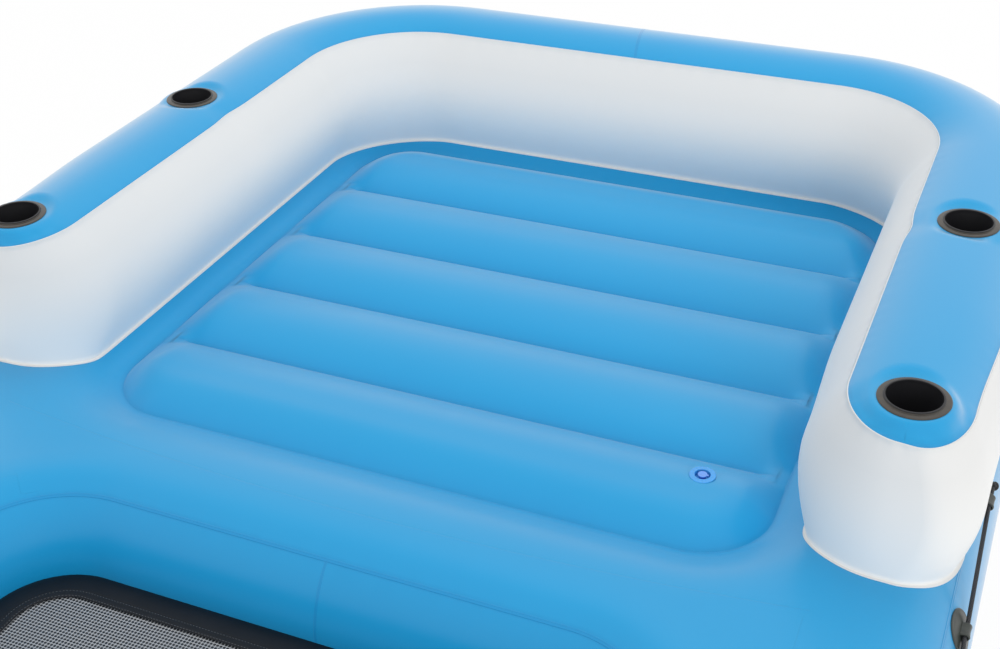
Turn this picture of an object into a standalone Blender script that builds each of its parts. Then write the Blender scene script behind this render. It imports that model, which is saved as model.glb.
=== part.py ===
"""Inflatable floating island: a ribbed lounge floor inside a U-shaped backrest, with a net foot well.

The island is welded from sheets into three air chambers: the base ring, the floor and the backrest.
Units are metres. +Y points to the back of the backrest, +Z up, and the ground is at zero.
"""

import math

import bmesh
import bpy
from mathutils import Matrix, Vector
from mathutils.bvhtree import BVHTree
from mathutils.geometry import delaunay_2d_cdt

# Sheets and fits
sheet_thickness = 0.0006
seat_gap = 0.0003
sheet_hole_clearance = 0.0012
weld_margin = 0.0004
cut_overrun = 0.02
merge_share = 0.01
smooth_angle = math.radians(35)

# Base ring chamber
base_half_width = 1.260
base_back = 1.765
base_front = -1.774
base_height = 0.420
base_back_radius = 0.653
base_front_radius = 0.480
shoulder_reach = 0.200
seam_angle = math.radians(48)
well_seam_angle = math.radians(38)
crest_blend = 0.020

# Foot of the backrest, from the ring's outline inward
foot_inset = 0.054
foot_side_width = 0.309
foot_back_width = 0.315
foot_outer_x = base_half_width - foot_inset
foot_outer_y = base_back - foot_inset
foot_inner_x = foot_outer_x - foot_side_width
foot_inner_y = foot_outer_y - foot_back_width

# Floor chamber
floor_side_margin = 0.075
floor_back_margin = 0.066
floor_length = 1.550
floor_half_width = foot_inner_x - floor_side_margin
floor_back = foot_inner_y - floor_back_margin
floor_front = floor_back - floor_length
floor_back_radius = 0.180
floor_front_radius = 0.170
floor_valley_depth = 0.060
floor_valley_height = base_height - floor_valley_depth
floor_rise_reach = 0.200
floor_edge_reach = 0.110
beam_count = 5
beam_crown = 0.052
beam_crown_power = 2.2
beam_seam_inset = 0.027
beam_seam_half_length = floor_half_width - beam_seam_inset
beam_seam_fade = 0.035
underside_valley_height = 0.050
underside_rise_reach = 0.120
underside_crown = 0.035

# Foot well and its net
well_side_width = 0.548
crossbeam_width = 0.390
well_rim_width = 0.469
well_half_width = base_half_width - well_side_width
well_back = floor_front - crossbeam_width
well_front = base_front + well_rim_width
well_back_radius = 0.180
well_front_radius = 0.180
net_drop = 0.0015
net_height = base_height / 2.0 - net_drop
net_thickness = 0.0012
border_width = 0.058
border_thickness = 0.0016
border_lap = 0.012
edging_width = 0.022
edging_lap = 0.006
edging_thickness = 0.0020

# Backrest chamber
corner_side_reach = 0.290
corner_back_reach = 0.284
foot_tip_lead = 0.005
foot_tip_inner_width = 0.170
foot_tip_inner_length = 0.125
foot_tip_outer_width = 0.116
foot_tip_outer_length = 0.220
panel_inset = 0.006
panel_width = 0.263
panel_tip_setback = 0.025
panel_tip_inner_width = 0.122
panel_tip_inner_length = 0.160
panel_tip_outer_width = 0.095
panel_tip_outer_length = 0.160
panel_tip_outer_draw = 0.017
inner_wall_rise = 0.318
outer_wall_rise = 0.297
backrest_corner_x = foot_inner_x - corner_side_reach
backrest_corner_y = foot_inner_y - corner_back_reach
foot_front = floor_front + foot_tip_lead
panel_outer_x = foot_outer_x - panel_inset
panel_outer_y = foot_outer_y - panel_inset
panel_inner_x = panel_outer_x - panel_width
panel_inner_y = panel_outer_y - panel_width
panel_front = foot_front + panel_tip_setback
panel_inner_seam_height = base_height + inner_wall_rise
panel_outer_seam_height = base_height + outer_wall_rise
panel_crown = 0.046
panel_joint_inner_x = -0.004
panel_joint_outer_x = -0.050
panel_crown_power = 2.2
inner_bulge = 0.072
outer_bulge = 0.030
tip_bulge = 0.024
tip_draw = 0.048
tip_draw_share = 0.30
wall_joint_gap = 0.0010

# Cup holders
cup_tip_distance = 0.104
cup_spacing = 0.760
cup_front_y = panel_front + cup_tip_distance
cup_rear_y = cup_front_y + cup_spacing
cup_radius = 0.0542
cup_floor_radius = 0.0430
cup_depth = 0.100
cup_wall = 0.0012
cup_lip_width = 0.0030
cup_lip_thickness = 0.0014
cup_dimple = 0.0115
cup_flat_reach = 0.0735
cup_blend_reach = 0.100
cup_flat_power = 4.0
flange_width = 0.0155
flange_weld_width = 0.0050
flange_thickness = 0.0030
flange_rim_thickness = 0.0014
flange_bevel = 0.0030
flange_lip_width = 0.0035
flange_lip_height = 0.0022

# Recessed floor valve
floor_valve_side_margin = 0.170
floor_valve_front_margin = 0.198
floor_valve_x = floor_half_width - floor_valve_side_margin
floor_valve_y = floor_front + floor_valve_front_margin
floor_valve_flange_radius = 0.0295
floor_valve_flange_thickness = 0.0012
floor_valve_recess_radius = 0.0172
floor_valve_recess_depth = 0.0120
floor_valve_wall = 0.0012
stem_radius = 0.0080
stem_bore_radius = 0.0048
stem_length = 0.0290
stem_collar_radius = 0.0095
stem_collar_height = 0.0025
stem_clearance = 0.0004
floor_cap_radius = 0.0104
floor_cap_thickness = 0.0020
floor_cap_plug_radius = 0.0040
floor_cap_plug_length = 0.0030
floor_cap_hinge_x = 0.0130
floor_cap_hinge_height = 0.0016
floor_cap_ear_width = 0.0050
stem_ear_share = 0.6
strap_thickness_share = 0.7

# Large valves of the base and the backrest
base_valve_x = -0.450
backrest_valve_x = 0.450
backrest_valve_rise = 0.100
backrest_valve_height = base_height + backrest_valve_rise
valve_flange_radius = 0.0380
valve_flange_thickness = 0.0020
valve_bore_radius = 0.0220
valve_barrel_wall = 0.0025
valve_barrel_depth = 0.0240
valve_thread_clearance = 0.0003
valve_insert_wall = 0.0030
valve_insert_depth = 0.0200
valve_insert_floor = 0.0020
valve_insert_mouth_radius = 0.0070
valve_grip_radius = 0.0275
valve_grip_height = 0.0060
valve_grip_notch = 0.0012
valve_cap_radius = 0.0262
valve_cap_thickness = 0.0024
valve_cap_plug_clearance = 0.0009
valve_cap_plug_length = 0.0050
valve_cap_hinge_reach = 0.0300
valve_cap_ear_width = 0.0110

# Grab rope and its patches
rope_diameter = 0.009
patch_half_length = 0.055
patch_half_width = 0.041
patch_thickness = 0.0030
patch_rim_inset = 0.0060
patch_bridge_length = 0.034
patch_bridge_wall = 0.0040
patch_foot_share = 1.25
patch_bore_radius = 0.0053
patch_bore_lift = 0.0022
patch_bend_radius = 0.230
patch_angle = math.radians(61)
patch_spacing = 0.405
patches_per_side = 7
patch_probe_reach = 0.220
wall_patch_lead = 0.270
wall_patch_rise = 0.035
wall_patch_y = foot_front + wall_patch_lead
wall_patch_height = base_height + wall_patch_rise
rope_droop_angle = math.radians(4)
rope_straight_reach = 0.026
rope_end_reach = 0.050
knot_length = 0.018
knot_swell_share = 2.1
knot_full_share = 0.15
rope_span_shares = (0.28, 0.5, 0.72)

# Stations and facet counts
base_corner_steps = 8
inner_corner_steps = 5
side_steps = 3
end_steps = 2
outer_wall_rows = 7
well_wall_rows = 6
patch_probes = 9
row_merge = 0.004
seat_probe_shares = (0.0, 0.5, 0.8, 1.0)
foot_probe_shares = (0.1, 0.2, 0.3, 0.4, 0.5)
shoulder_shares = (0.0, 1.0 / 3.0, 2.0 / 3.0, 1.0)
under_shoulder_shares = (0.0, 0.5, 1.0)
floor_rise_shares = (0.35, 0.7, 1.0)
under_rise_shares = (0.5, 1.0)
beam_row_shares = (0.0, 0.14, 0.36, 0.64, 0.86)
under_beam_row_shares = (0.0, 0.25, 0.5, 0.75)
beam_column_share = 0.93
wall_level_shares = (0.0, 0.3, 0.65, 1.0)
wall_arm_shares = (0.0, 0.15, 0.3, 1.0)
tip_steps = 5
backrest_corner_steps = 6
wall_back_steps = 2
panel_back_steps = 3
panel_across_steps = 6
patch_plate_rows = 6
bridge_arc_steps = 6
bore_steps = 12
cap_barrel_steps = 10
turned_steps = 20
small_turned_steps = 16
rope_bevel_resolution = 2


def clear_scene():
    """Remove every object of the open file."""
    for item in list(bpy.data.objects):
        bpy.data.objects.remove(item, do_unlink=True)


def material(name, colour, roughness, metallic=0.0):
    """Principled material with one colour."""
    made = bpy.data.materials.new(name)
    made.use_nodes = True
    shader = made.node_tree.nodes["Principled BSDF"]
    shader.inputs["Base Color"].default_value = (*colour, 1.0)
    shader.inputs["Roughness"].default_value = roughness
    shader.inputs["Metallic"].default_value = metallic
    made.diffuse_color = (*colour, 1.0)
    return made


def mix(start, end, share):
    """Value between two others."""
    return start + (end - start) * share


def smooth_step(start, end, value):
    """Smooth rise from 0 at start to 1 at end."""
    share = min(max((value - start) / (end - start), 0.0), 1.0)
    return share * share * (3.0 - 2.0 * share)


def smooth_minimum(first, second, blend):
    """Lower of two heights, rounded where they cross."""
    share = max(blend - abs(first - second), 0.0) / blend
    return min(first, second) - share * share * blend / 4.0


class RoundedOutline:
    """Rectangle with round corners, seen from above, symmetric about the plane of zero x."""

    def __init__(self, half_width, front, back, front_radius, back_radius, corner_steps):
        self.corner_steps = corner_steps
        self.half_width = half_width
        self.front = front
        self.back = back
        self.front_radius = front_radius
        self.back_radius = back_radius

    def distance(self, x, y):
        """Distance to the outline, positive outside."""
        middle = (self.front + self.back) / 2.0
        half_length = (self.back - self.front) / 2.0
        radius = self.back_radius if y > middle else self.front_radius
        across = abs(x) - self.half_width + radius
        along = abs(y - middle) - half_length + radius
        outside = math.hypot(max(across, 0.0), max(along, 0.0))
        return outside + min(max(across, along), 0.0) - radius

    def loop(self, offset=0.0):
        """Points round the outline, moved outward by offset, counter-clockwise from the right side."""
        back_centre_x = self.half_width - self.back_radius
        front_centre_x = self.half_width - self.front_radius
        back_centre_y = self.back - self.back_radius
        front_centre_y = self.front + self.front_radius
        corners = [
            (back_centre_x, back_centre_y, self.back_radius + offset, end_steps),
            (-back_centre_x, back_centre_y, self.back_radius + offset, side_steps),
            (-front_centre_x, front_centre_y, self.front_radius + offset, end_steps),
            (front_centre_x, front_centre_y, self.front_radius + offset, side_steps),
        ]
        arcs = []
        for index, (centre_x, centre_y, radius, _) in enumerate(corners):
            arc = []
            for step in range(self.corner_steps + 1):
                angle = math.pi / 2.0 * (index + step / self.corner_steps)
                arc.append((centre_x + radius * math.cos(angle), centre_y + radius * math.sin(angle)))
            arcs.append(arc)
        points = []
        for index, arc in enumerate(arcs):
            points.extend(arc)
            straight_steps = corners[index][3]
            start = arc[-1]
            end = arcs[(index + 1) % len(arcs)][0]
            for step in range(1, straight_steps):
                share = step / straight_steps
                points.append((mix(start[0], end[0], share), mix(start[1], end[1], share)))
        return points

    def place(self, reach):
        """Point and outward direction at a distance along the outline from the middle of its front."""
        side = 1.0 if reach >= 0 else -1.0
        left = abs(reach)
        half_front = self.half_width - self.front_radius
        arc_length = self.front_radius * math.pi / 2.0
        if left < half_front:
            return Vector((side * left, self.front, 0.0)), Vector((0.0, -1.0, 0.0))
        left -= half_front
        if left < arc_length:
            angle = left / self.front_radius
            outward = Vector((side * math.sin(angle), -math.cos(angle), 0.0))
            centre = Vector((side * half_front, self.front + self.front_radius, 0.0))
            return centre + outward * self.front_radius, outward
        left -= arc_length
        point = Vector((side * self.half_width, self.front + self.front_radius + left, 0.0))
        return point, Vector((side, 0.0, 0.0))


base_outline = RoundedOutline(
    base_half_width, base_front, base_back, base_front_radius, base_back_radius, base_corner_steps
)
floor_outline = RoundedOutline(
    floor_half_width, floor_front, floor_back, floor_front_radius, floor_back_radius, inner_corner_steps
)
well_outline = RoundedOutline(
    well_half_width, well_front, well_back, well_front_radius, well_back_radius, inner_corner_steps
)
base_middle_height = base_height / 2.0
beam_depth = (floor_back - floor_front) / beam_count
outer_seam_inset = shoulder_reach * (1.0 - math.sin(seam_angle))
well_seam_inset = shoulder_reach * (1.0 - math.sin(well_seam_angle))


def shoulder_height(distance):
    """Height of the base's upper skin at a distance in from its widest line."""
    share = min(max(distance / shoulder_reach, 0.0), 1.0)
    return base_middle_height + (base_height - base_middle_height) * math.sqrt(1.0 - (1.0 - share) ** 2)


def base_top_height(x, y):
    """Height of the base's crowned upper sheet."""
    outer = shoulder_height(-base_outline.distance(x, y))
    well = shoulder_height(well_outline.distance(x, y))
    rise = min(max(floor_outline.distance(x, y) / floor_rise_reach, 0.0), 1.0)
    floor = mix(floor_valley_height, base_height, math.sin(rise * math.pi / 2.0))
    return smooth_minimum(smooth_minimum(outer, well, crest_blend), floor, crest_blend)


def base_bottom_height(x, y):
    """Height of the base's lower sheet: flat where it rests, drawn up to its welds."""
    outer = base_height - shoulder_height(-base_outline.distance(x, y))
    well = base_height - shoulder_height(well_outline.distance(x, y))
    rise = min(max(floor_outline.distance(x, y) / underside_rise_reach, 0.0), 1.0)
    floor = underside_valley_height * (1.0 - math.sin(rise * math.pi / 2.0))
    return max(outer, well, floor)


def beam_swell(x, y):
    """Share of the full crown over the floor: beams between the seams, drawn down at the border."""
    inward = max(-floor_outline.distance(x, y), 0.0)
    edge = math.sin(min(inward / floor_edge_reach, 1.0) * math.pi / 2.0)
    arch = 1.0
    for seam in range(1, beam_count):
        reach = abs(y - floor_back + seam * beam_depth) / (beam_depth / 2.0)
        arch = min(arch, 1.0 - max(1.0 - reach, 0.0) ** beam_crown_power)
    fade = smooth_step(beam_seam_half_length - beam_seam_fade, beam_seam_half_length, abs(x))
    return edge * mix(arch, 1.0, fade)


def floor_top_height(x, y):
    """Height of the floor's ribbed upper sheet."""
    return floor_valley_height + beam_crown * beam_swell(x, y)


def floor_bottom_height(x, y):
    """Height of the floor's ribbed lower sheet."""
    return underside_valley_height - underside_crown * beam_swell(x, y)


def add_object(name, mesh, finish):
    """Object of a mesh with its material, smooth where faces meet gently."""
    made = bpy.data.objects.new(name, mesh)
    bpy.context.scene.collection.objects.link(made)
    mesh.materials.append(finish)
    mesh.shade_smooth()
    mesh.set_sharp_from_angle(angle=smooth_angle)
    return made


def mesh_from(name, points, faces):
    """Closed or open mesh of triangles."""
    surface = bmesh.new()
    made = [surface.verts.new(point) for point in points]
    for face in faces:
        surface.faces.new([made[index] for index in face])
    bmesh.ops.triangulate(surface, faces=surface.faces[:])
    mesh = bpy.data.meshes.new(name)
    surface.to_mesh(mesh)
    surface.free()
    return mesh


def sheet_object(name, points, faces, finish, thickness=sheet_thickness):
    """Sheet whose given side is its outer face; its thickness goes inward."""
    made = add_object(name, mesh_from(name, points, faces), finish)
    solid = made.modifiers.new("thickness", "SOLIDIFY")
    solid.thickness = thickness
    solid.offset = -1.0
    solid.use_even_offset = False
    return made


def surface_sheet(name, finish, loops, inside, height, facing_up=True):
    """Sheet over the flat region for which inside is true, lifted to height."""
    points = []
    edges = []
    for loop in loops:
        first = len(points)
        points.extend(Vector(point) for point in loop)
        edges.extend((first + step, first + (step + 1) % len(loop)) for step in range(len(loop)))
    flat, _, triangles = delaunay_2d_cdt(points, edges, [], 0, sheet_thickness * merge_share)[:3]
    kept = []
    for triangle in triangles:
        centre = sum((flat[index] for index in triangle), Vector((0.0, 0.0))) / len(triangle)
        if inside(centre.x, centre.y):
            kept.append(tuple(triangle) if facing_up else tuple(reversed(triangle)))
    used = sorted({index for triangle in kept for index in triangle})
    numbers = {index: place for place, index in enumerate(used)}
    lifted = [(flat[index].x, flat[index].y, height(flat[index].x, flat[index].y)) for index in used]
    faces = [tuple(numbers[index] for index in triangle) for triangle in kept]
    return sheet_object(name, lifted, faces, finish)


def lofted_sheet(name, rows, finish, closed, outward=True):
    """Sheet through rows of points; outward says which side the rows' own order faces."""
    points = [point for row in rows for point in row]
    count = len(rows[0])
    faces = []
    for row in range(len(rows) - 1):
        for step in range(count if closed else count - 1):
            following = (step + 1) % count
            corners = (
                row * count + step,
                row * count + following,
                (row + 1) * count + following,
                (row + 1) * count + step,
            )
            faces.append(corners if outward else tuple(reversed(corners)))
    return sheet_object(name, points, faces, finish)


def half_of_loop(points, side, edge):
    """Right or left half of a symmetric loop of points in space, cut short by edge at both ends."""
    crossings = [point for point in points if abs(point[0]) <= edge]
    last, first = sorted(crossings, key=lambda point: -side * point[1])
    start = points.index(first)
    half = [point for point in points[start:] + points[:start] if point[0] * side > edge]
    return [(side * edge, first[1], first[2])] + half + [(side * edge, last[1], last[2])]


def flat_ring(name, outer_loop, inner_loop, low, high, finish):
    """Flat band between two loops of as many points."""
    count = len(outer_loop)
    points = []
    for loop, height in ((outer_loop, low), (inner_loop, low), (inner_loop, high), (outer_loop, high)):
        points.extend((x, y, height) for x, y in loop)
    faces = []
    for row in range(4):
        above = (row + 1) % 4
        for step in range(count):
            following = (step + 1) % count
            faces.append(
                (
                    row * count + following,
                    row * count + step,
                    above * count + step,
                    above * count + following,
                )
            )
    return add_object(name, mesh_from(name, points, faces), finish)


def flat_panel(name, loop, low, high, finish):
    """Flat plate inside one loop."""
    surface = bmesh.new()
    face = surface.faces.new([surface.verts.new((x, y, low)) for x, y in loop])
    grown = bmesh.ops.extrude_face_region(surface, geom=[face])["geom"]
    lifted = [item for item in grown if isinstance(item, bmesh.types.BMVert)]
    bmesh.ops.translate(surface, verts=lifted, vec=(0.0, 0.0, high - low))
    bmesh.ops.recalc_face_normals(surface, faces=surface.faces[:])
    bmesh.ops.triangulate(surface, faces=surface.faces[:])
    mesh = bpy.data.meshes.new(name)
    surface.to_mesh(mesh)
    surface.free()
    return add_object(name, mesh, finish)


def turned_mesh(name, profile, steps, notch=None):
    """Solid turned about z from a closed profile of radius and height; notch draws in every other step."""
    surface = bmesh.new()
    ring = [surface.verts.new((radius, 0.0, height)) for radius, height in profile]
    edges = [surface.edges.new((ring[index - 1], ring[index])) for index in range(len(ring))]
    bmesh.ops.spin(
        surface,
        geom=ring + edges,
        cent=(0.0, 0.0, 0.0),
        axis=(0.0, 0.0, 1.0),
        angle=2.0 * math.pi,
        steps=steps,
        use_merge=True,
    )
    merge = seat_gap * merge_share
    bmesh.ops.remove_doubles(surface, verts=surface.verts[:], dist=merge)
    bmesh.ops.dissolve_degenerate(surface, edges=surface.edges[:], dist=merge)
    if notch:
        least_radius, depth = notch
        for vertex in surface.verts:
            radius = math.hypot(vertex.co.x, vertex.co.y)
            step = round(math.atan2(vertex.co.y, vertex.co.x) / (2.0 * math.pi) * steps)
            if radius > least_radius and step % 2:
                vertex.co.x *= (radius - depth) / radius
                vertex.co.y *= (radius - depth) / radius
    bmesh.ops.recalc_face_normals(surface, faces=surface.faces[:])
    mesh = bpy.data.meshes.new(name)
    surface.to_mesh(mesh)
    surface.free()
    return mesh


def block_mesh(name, low, high):
    """Box between two corners."""
    surface = bmesh.new()
    bmesh.ops.create_cube(surface, size=1.0)
    low, high = Vector(low), Vector(high)
    for vertex in surface.verts:
        share = [coordinate + 0.5 for coordinate in vertex.co]
        vertex.co = Vector([mix(low[axis], high[axis], share[axis]) for axis in range(3)])
    mesh = bpy.data.meshes.new(name)
    surface.to_mesh(mesh)
    surface.free()
    return mesh


def rod_mesh(name, radius, start, end, axis, steps):
    """Round rod along x, y or z between two stations."""
    surface = bmesh.new()
    bmesh.ops.create_cone(
        surface, cap_ends=True, segments=steps, radius1=radius, radius2=radius, depth=end - start
    )
    turn = {"x": Matrix.Rotation(math.pi / 2.0, 4, "Y"), "y": Matrix.Rotation(-math.pi / 2.0, 4, "X")}
    centre = {"x": (1, 0, 0), "y": (0, 1, 0), "z": (0, 0, 1)}[axis]
    place = Matrix.Translation(Vector(centre) * (start + end) / 2.0)
    bmesh.ops.transform(surface, matrix=place @ turn.get(axis, Matrix()), verts=surface.verts[:])
    mesh = bpy.data.meshes.new(name)
    surface.to_mesh(mesh)
    surface.free()
    return mesh


def helper(name, mesh, place=None):
    """Object that only cuts or joins another."""
    made = bpy.data.objects.new(name, mesh)
    bpy.context.scene.collection.objects.link(made)
    made.hide_render = True
    made.display_type = "WIRE"
    if place:
        made.matrix_world = place
    return made


def combine(target, tool, operation):
    """Boolean modifier on the target."""
    step = target.modifiers.new(operation.lower(), "BOOLEAN")
    step.operation = operation
    step.solver = "EXACT"
    step.object = tool
    tool.hide_render = True
    tool.display_type = "WIRE"


def evaluated(made):
    """Mesh of an object with its modifiers, in world space."""
    bpy.context.view_layer.update()
    graph = bpy.context.evaluated_depsgraph_get()
    mesh = bpy.data.meshes.new_from_object(made.evaluated_get(graph))
    mesh.transform(made.matrix_world)
    return mesh


def outer_tree(made):
    """Search tree of an object's solid, for seating other pieces on it."""
    surface = bmesh.new()
    mesh = evaluated(made)
    surface.from_mesh(mesh)
    tree = BVHTree.FromBMesh(surface)
    surface.free()
    bpy.data.meshes.remove(mesh)
    return tree


def build_base(blue):
    """Sheets of the base ring: crowned top, flat bottom, bulged outer and well walls, wall round the floor."""
    edge = seat_gap / 2.0

    def edge_loops(shares, rise_reach, rise_shares):
        made = []
        for share in shares:
            outer_inset = shoulder_reach * (1.0 - math.sin(seam_angle * (1.0 - share)))
            well_inset = shoulder_reach * (1.0 - math.sin(well_seam_angle * (1.0 - share)))
            trim = edge if share == 0.0 else 0.0
            made.append(base_outline.loop(-outer_inset - trim))
            made.append(well_outline.loop(well_inset + trim))
        made.append(floor_outline.loop(edge))
        for share in rise_shares:
            made.append(floor_outline.loop(rise_reach * share))
        return made

    def inside(x, y):
        if base_outline.distance(x, y) > -outer_seam_inset:
            return False
        return well_outline.distance(x, y) > well_seam_inset and floor_outline.distance(x, y) > 0

    loops = edge_loops(shoulder_shares, floor_rise_reach, floor_rise_shares)
    top = surface_sheet("base_top_sheet", blue, loops, inside, base_top_height)
    loops = edge_loops(under_shoulder_shares, underside_rise_reach, under_rise_shares)
    surface_sheet("base_bottom_sheet", blue, loops, inside, base_bottom_height, facing_up=False)

    def wall_rows_of(outline, side, first_angle, count):
        rows = []
        for row in range(count + 1):
            angle = mix(first_angle, math.pi - first_angle, row / count)
            inset = shoulder_reach * (1.0 - math.sin(angle))
            height = base_middle_height * (1.0 + math.cos(angle))
            shift = edge if row == 0 else -edge if row == count else 0.0
            rows.append([(x, y, height - shift) for x, y in outline.loop(side * inset)])
        return rows

    rows = wall_rows_of(base_outline, -1.0, seam_angle, outer_wall_rows)
    outer = lofted_sheet("base_outer_wall", rows, blue, True, outward=False)
    rows = wall_rows_of(well_outline, 1.0, well_seam_angle, well_wall_rows)
    for side, side_name in ((1.0, "right"), (-1.0, "left")):
        half_rows = [half_of_loop(row, side, edge) for row in rows]
        lofted_sheet("well_wall_" + side_name, half_rows, blue, False, outward=True)
    step = sheet_thickness + seat_gap
    ring = floor_outline.loop(sheet_thickness / 2.0)
    upper = [(x, y, floor_valley_height - step) for x, y in ring]
    lower = [(x, y, underside_valley_height + step) for x, y in ring]
    lofted_sheet("floor_surround_wall", [upper, lower], blue, True, outward=False)
    return top, outer


def build_floor(blue, web_finish):
    """Ribbed upper and lower sheets with the webs that hold their seams together."""
    border = [(y, x) for x, y in floor_outline.loop(-seat_gap / 2.0) if x > 0.0]
    border.sort()

    def half_width_at(y):
        for (low_y, low_x), (high_y, high_x) in zip(border, border[1:]):
            if low_y <= y <= high_y and high_y > low_y:
                return mix(low_x, high_x, (y - low_y) / (high_y - low_y))
        return border[-1][1]

    def ribbed(name, depth_shares, across_shares, height, facing_up):
        depths = {y for y, _ in border}
        for beam in range(beam_count):
            for share in depth_shares:
                depths.add(floor_front + (beam + share) * beam_depth)
        ordered = sorted(y for y in depths if border[0][0] <= y <= border[-1][0])
        kept = [ordered[0]]
        for y in ordered[1:]:
            if y - kept[-1] > row_merge or y == border[-1][0]:
                kept.append(y)
        rows = []
        for y in kept:
            half = half_width_at(y)
            rows.append([(half * share, y, height(half * share, y)) for share in across_shares])
        return lofted_sheet(name, rows, blue, False, outward=facing_up)

    fade_start = beam_seam_half_length - beam_seam_fade
    fade_share = fade_start / floor_half_width
    shares = [0.0, fade_share * beam_column_share, fade_share, beam_seam_half_length / floor_half_width, 1.0]
    shares = [-share for share in reversed(shares[1:])] + shares
    top = ribbed("floor_top_sheet", beam_row_shares, shares, floor_top_height, True)
    ribbed("floor_bottom_sheet", under_beam_row_shares, shares, floor_bottom_height, False)
    step = sheet_thickness + seat_gap
    for seam in range(1, beam_count):
        y = floor_back - seam * beam_depth
        low = (-fade_start, y - sheet_thickness / 2.0, underside_valley_height + step)
        high = (fade_start, y + sheet_thickness / 2.0, floor_valley_height - step)
        name = "floor_web_%d" % seam
        add_object(name, block_mesh(name, low, high), web_finish)
    return top


def tip_share(steps_from_tip):
    """How far into an arm's tip a station lies: 1 at its front, 0 from where the arm runs straight."""
    return math.sin(math.pi / 2.0 * (1.0 - min(steps_from_tip / tip_steps, 1.0)))


class BackrestLevel:
    """One level of the backrest's U, seen from above, between its inner and its outer side.

    An arm's tip has an oval corner on each side, given by its width and its length along the arm.
    """

    def __init__(self, inner, outer, front, inner_corner, outer_corner, inner_draw, outer_draw):
        self.inner = inner
        self.outer = outer
        self.front = front
        self.inner_corner = inner_corner
        self.outer_corner = outer_corner
        self.inner_draw = inner_draw
        self.outer_draw = outer_draw

    def right_half(self, stations):
        """Inner and outer points of the right half, from the tip's front to the middle of the back."""
        inner_x, inner_y = self.inner
        outer_x, outer_y = self.outer
        inner_width, inner_length = self.inner_corner
        outer_width, outer_length = self.outer_corner
        inner_points = []
        outer_points = []
        arm_shares, back_count = stations
        for step in range(tip_steps):
            draw = 1.0 - math.sqrt(1.0 - tip_share(step) ** 2)
            lift = 1.0 - tip_share(step)
            inner_tip_x = inner_x + self.inner_draw + (inner_width - self.inner_draw) * draw
            outer_tip_x = outer_x - self.outer_draw - outer_width * draw
            inner_points.append((inner_tip_x, self.front + inner_length * lift))
            outer_points.append((outer_tip_x, self.front + outer_length * lift))
        for share in arm_shares:
            left = 1.0 - smooth_step(0.0, tip_draw_share, share)
            inner_tip_y = mix(self.front + inner_length, backrest_corner_y, share)
            outer_tip_y = mix(self.front + outer_length, backrest_corner_y, share)
            inner_points.append((inner_x + self.inner_draw * left, inner_tip_y))
            outer_points.append((outer_x - self.outer_draw * left, outer_tip_y))
        for step in range(1, backrest_corner_steps + 1):
            angle = math.pi / 2.0 * step / backrest_corner_steps
            for points, (reach_x, reach_y) in ((inner_points, self.inner), (outer_points, self.outer)):
                points.append(
                    (
                        backrest_corner_x + (reach_x - backrest_corner_x) * math.cos(angle),
                        backrest_corner_y + (reach_y - backrest_corner_y) * math.sin(angle),
                    )
                )
        for step in range(1, back_count + 1):
            x = backrest_corner_x * (1.0 - step / back_count)
            inner_points.append((x, inner_y))
            outer_points.append((x, outer_y))
        return inner_points, outer_points

    def sides(self, stations):
        """Inner and outer points from the right tip round the back to the left tip."""
        whole = []
        for half in self.right_half(stations):
            mirrored = [(-x, y) for x, y in reversed(half[:-1])]
            whole.append(half + mirrored)
        return whole


def backrest_level(share):
    """Level of the backrest's wall, from its foot at 0 to the panel's seam at 1."""
    swell = math.sin(math.pi * share)
    inner = (
        mix(foot_inner_x, panel_inner_x, share) - inner_bulge * swell,
        mix(foot_inner_y, panel_inner_y, share) - inner_bulge * swell,
    )
    outer = (
        mix(foot_outer_x, panel_outer_x, share) + outer_bulge * swell,
        mix(foot_outer_y, panel_outer_y, share) + outer_bulge * swell,
    )
    inner_corner = (
        mix(foot_tip_inner_width, panel_tip_inner_width, share) + inner_bulge * swell,
        mix(foot_tip_inner_length, panel_tip_inner_length, share) + inner_bulge * swell,
    )
    outer_corner = (
        mix(foot_tip_outer_width, panel_tip_outer_width, share),
        mix(foot_tip_outer_length, panel_tip_outer_length, share),
    )
    front = mix(foot_front, panel_front, share) - tip_bulge * swell
    outer_draw = panel_tip_outer_draw * share
    return BackrestLevel(inner, outer, front, inner_corner, outer_corner, tip_draw * swell, outer_draw)


panel_half_width = (panel_outer_x - panel_inner_x) / 2.0
cup_centre_x = (panel_inner_x + panel_outer_x) / 2.0
cup_plane_height = (panel_inner_seam_height + panel_outer_seam_height) / 2.0 + panel_crown - cup_dimple


def seam_height(x, y, across_share):
    """Height of the panel's seam plane, which leans outward."""
    if y < backrest_corner_y:
        across_share = (abs(x) - panel_inner_x) / (2.0 * panel_half_width)
    return mix(panel_inner_seam_height, panel_outer_seam_height, across_share)


def panel_height(x, y, across_share, into_tip):
    """Height of the blue panel: crowned across, domed at the tips, flat round each cup holder."""
    across = math.hypot((2.0 * across_share - 1.0) * math.sqrt(1.0 - into_tip ** 2), into_tip)
    crown = panel_crown * (1.0 - min(across, 1.0) ** panel_crown_power)
    height = seam_height(x, y, across_share) + crown
    for cup_y in (cup_front_y, cup_rear_y):
        across, along = abs(abs(x) - cup_centre_x), abs(y - cup_y)
        reach = (across ** cup_flat_power + along ** cup_flat_power) ** (1.0 / cup_flat_power)
        flat = 1.0 - smooth_step(cup_flat_reach, cup_blend_reach, reach)
        height = mix(height, cup_plane_height, flat)
    return height


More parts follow.
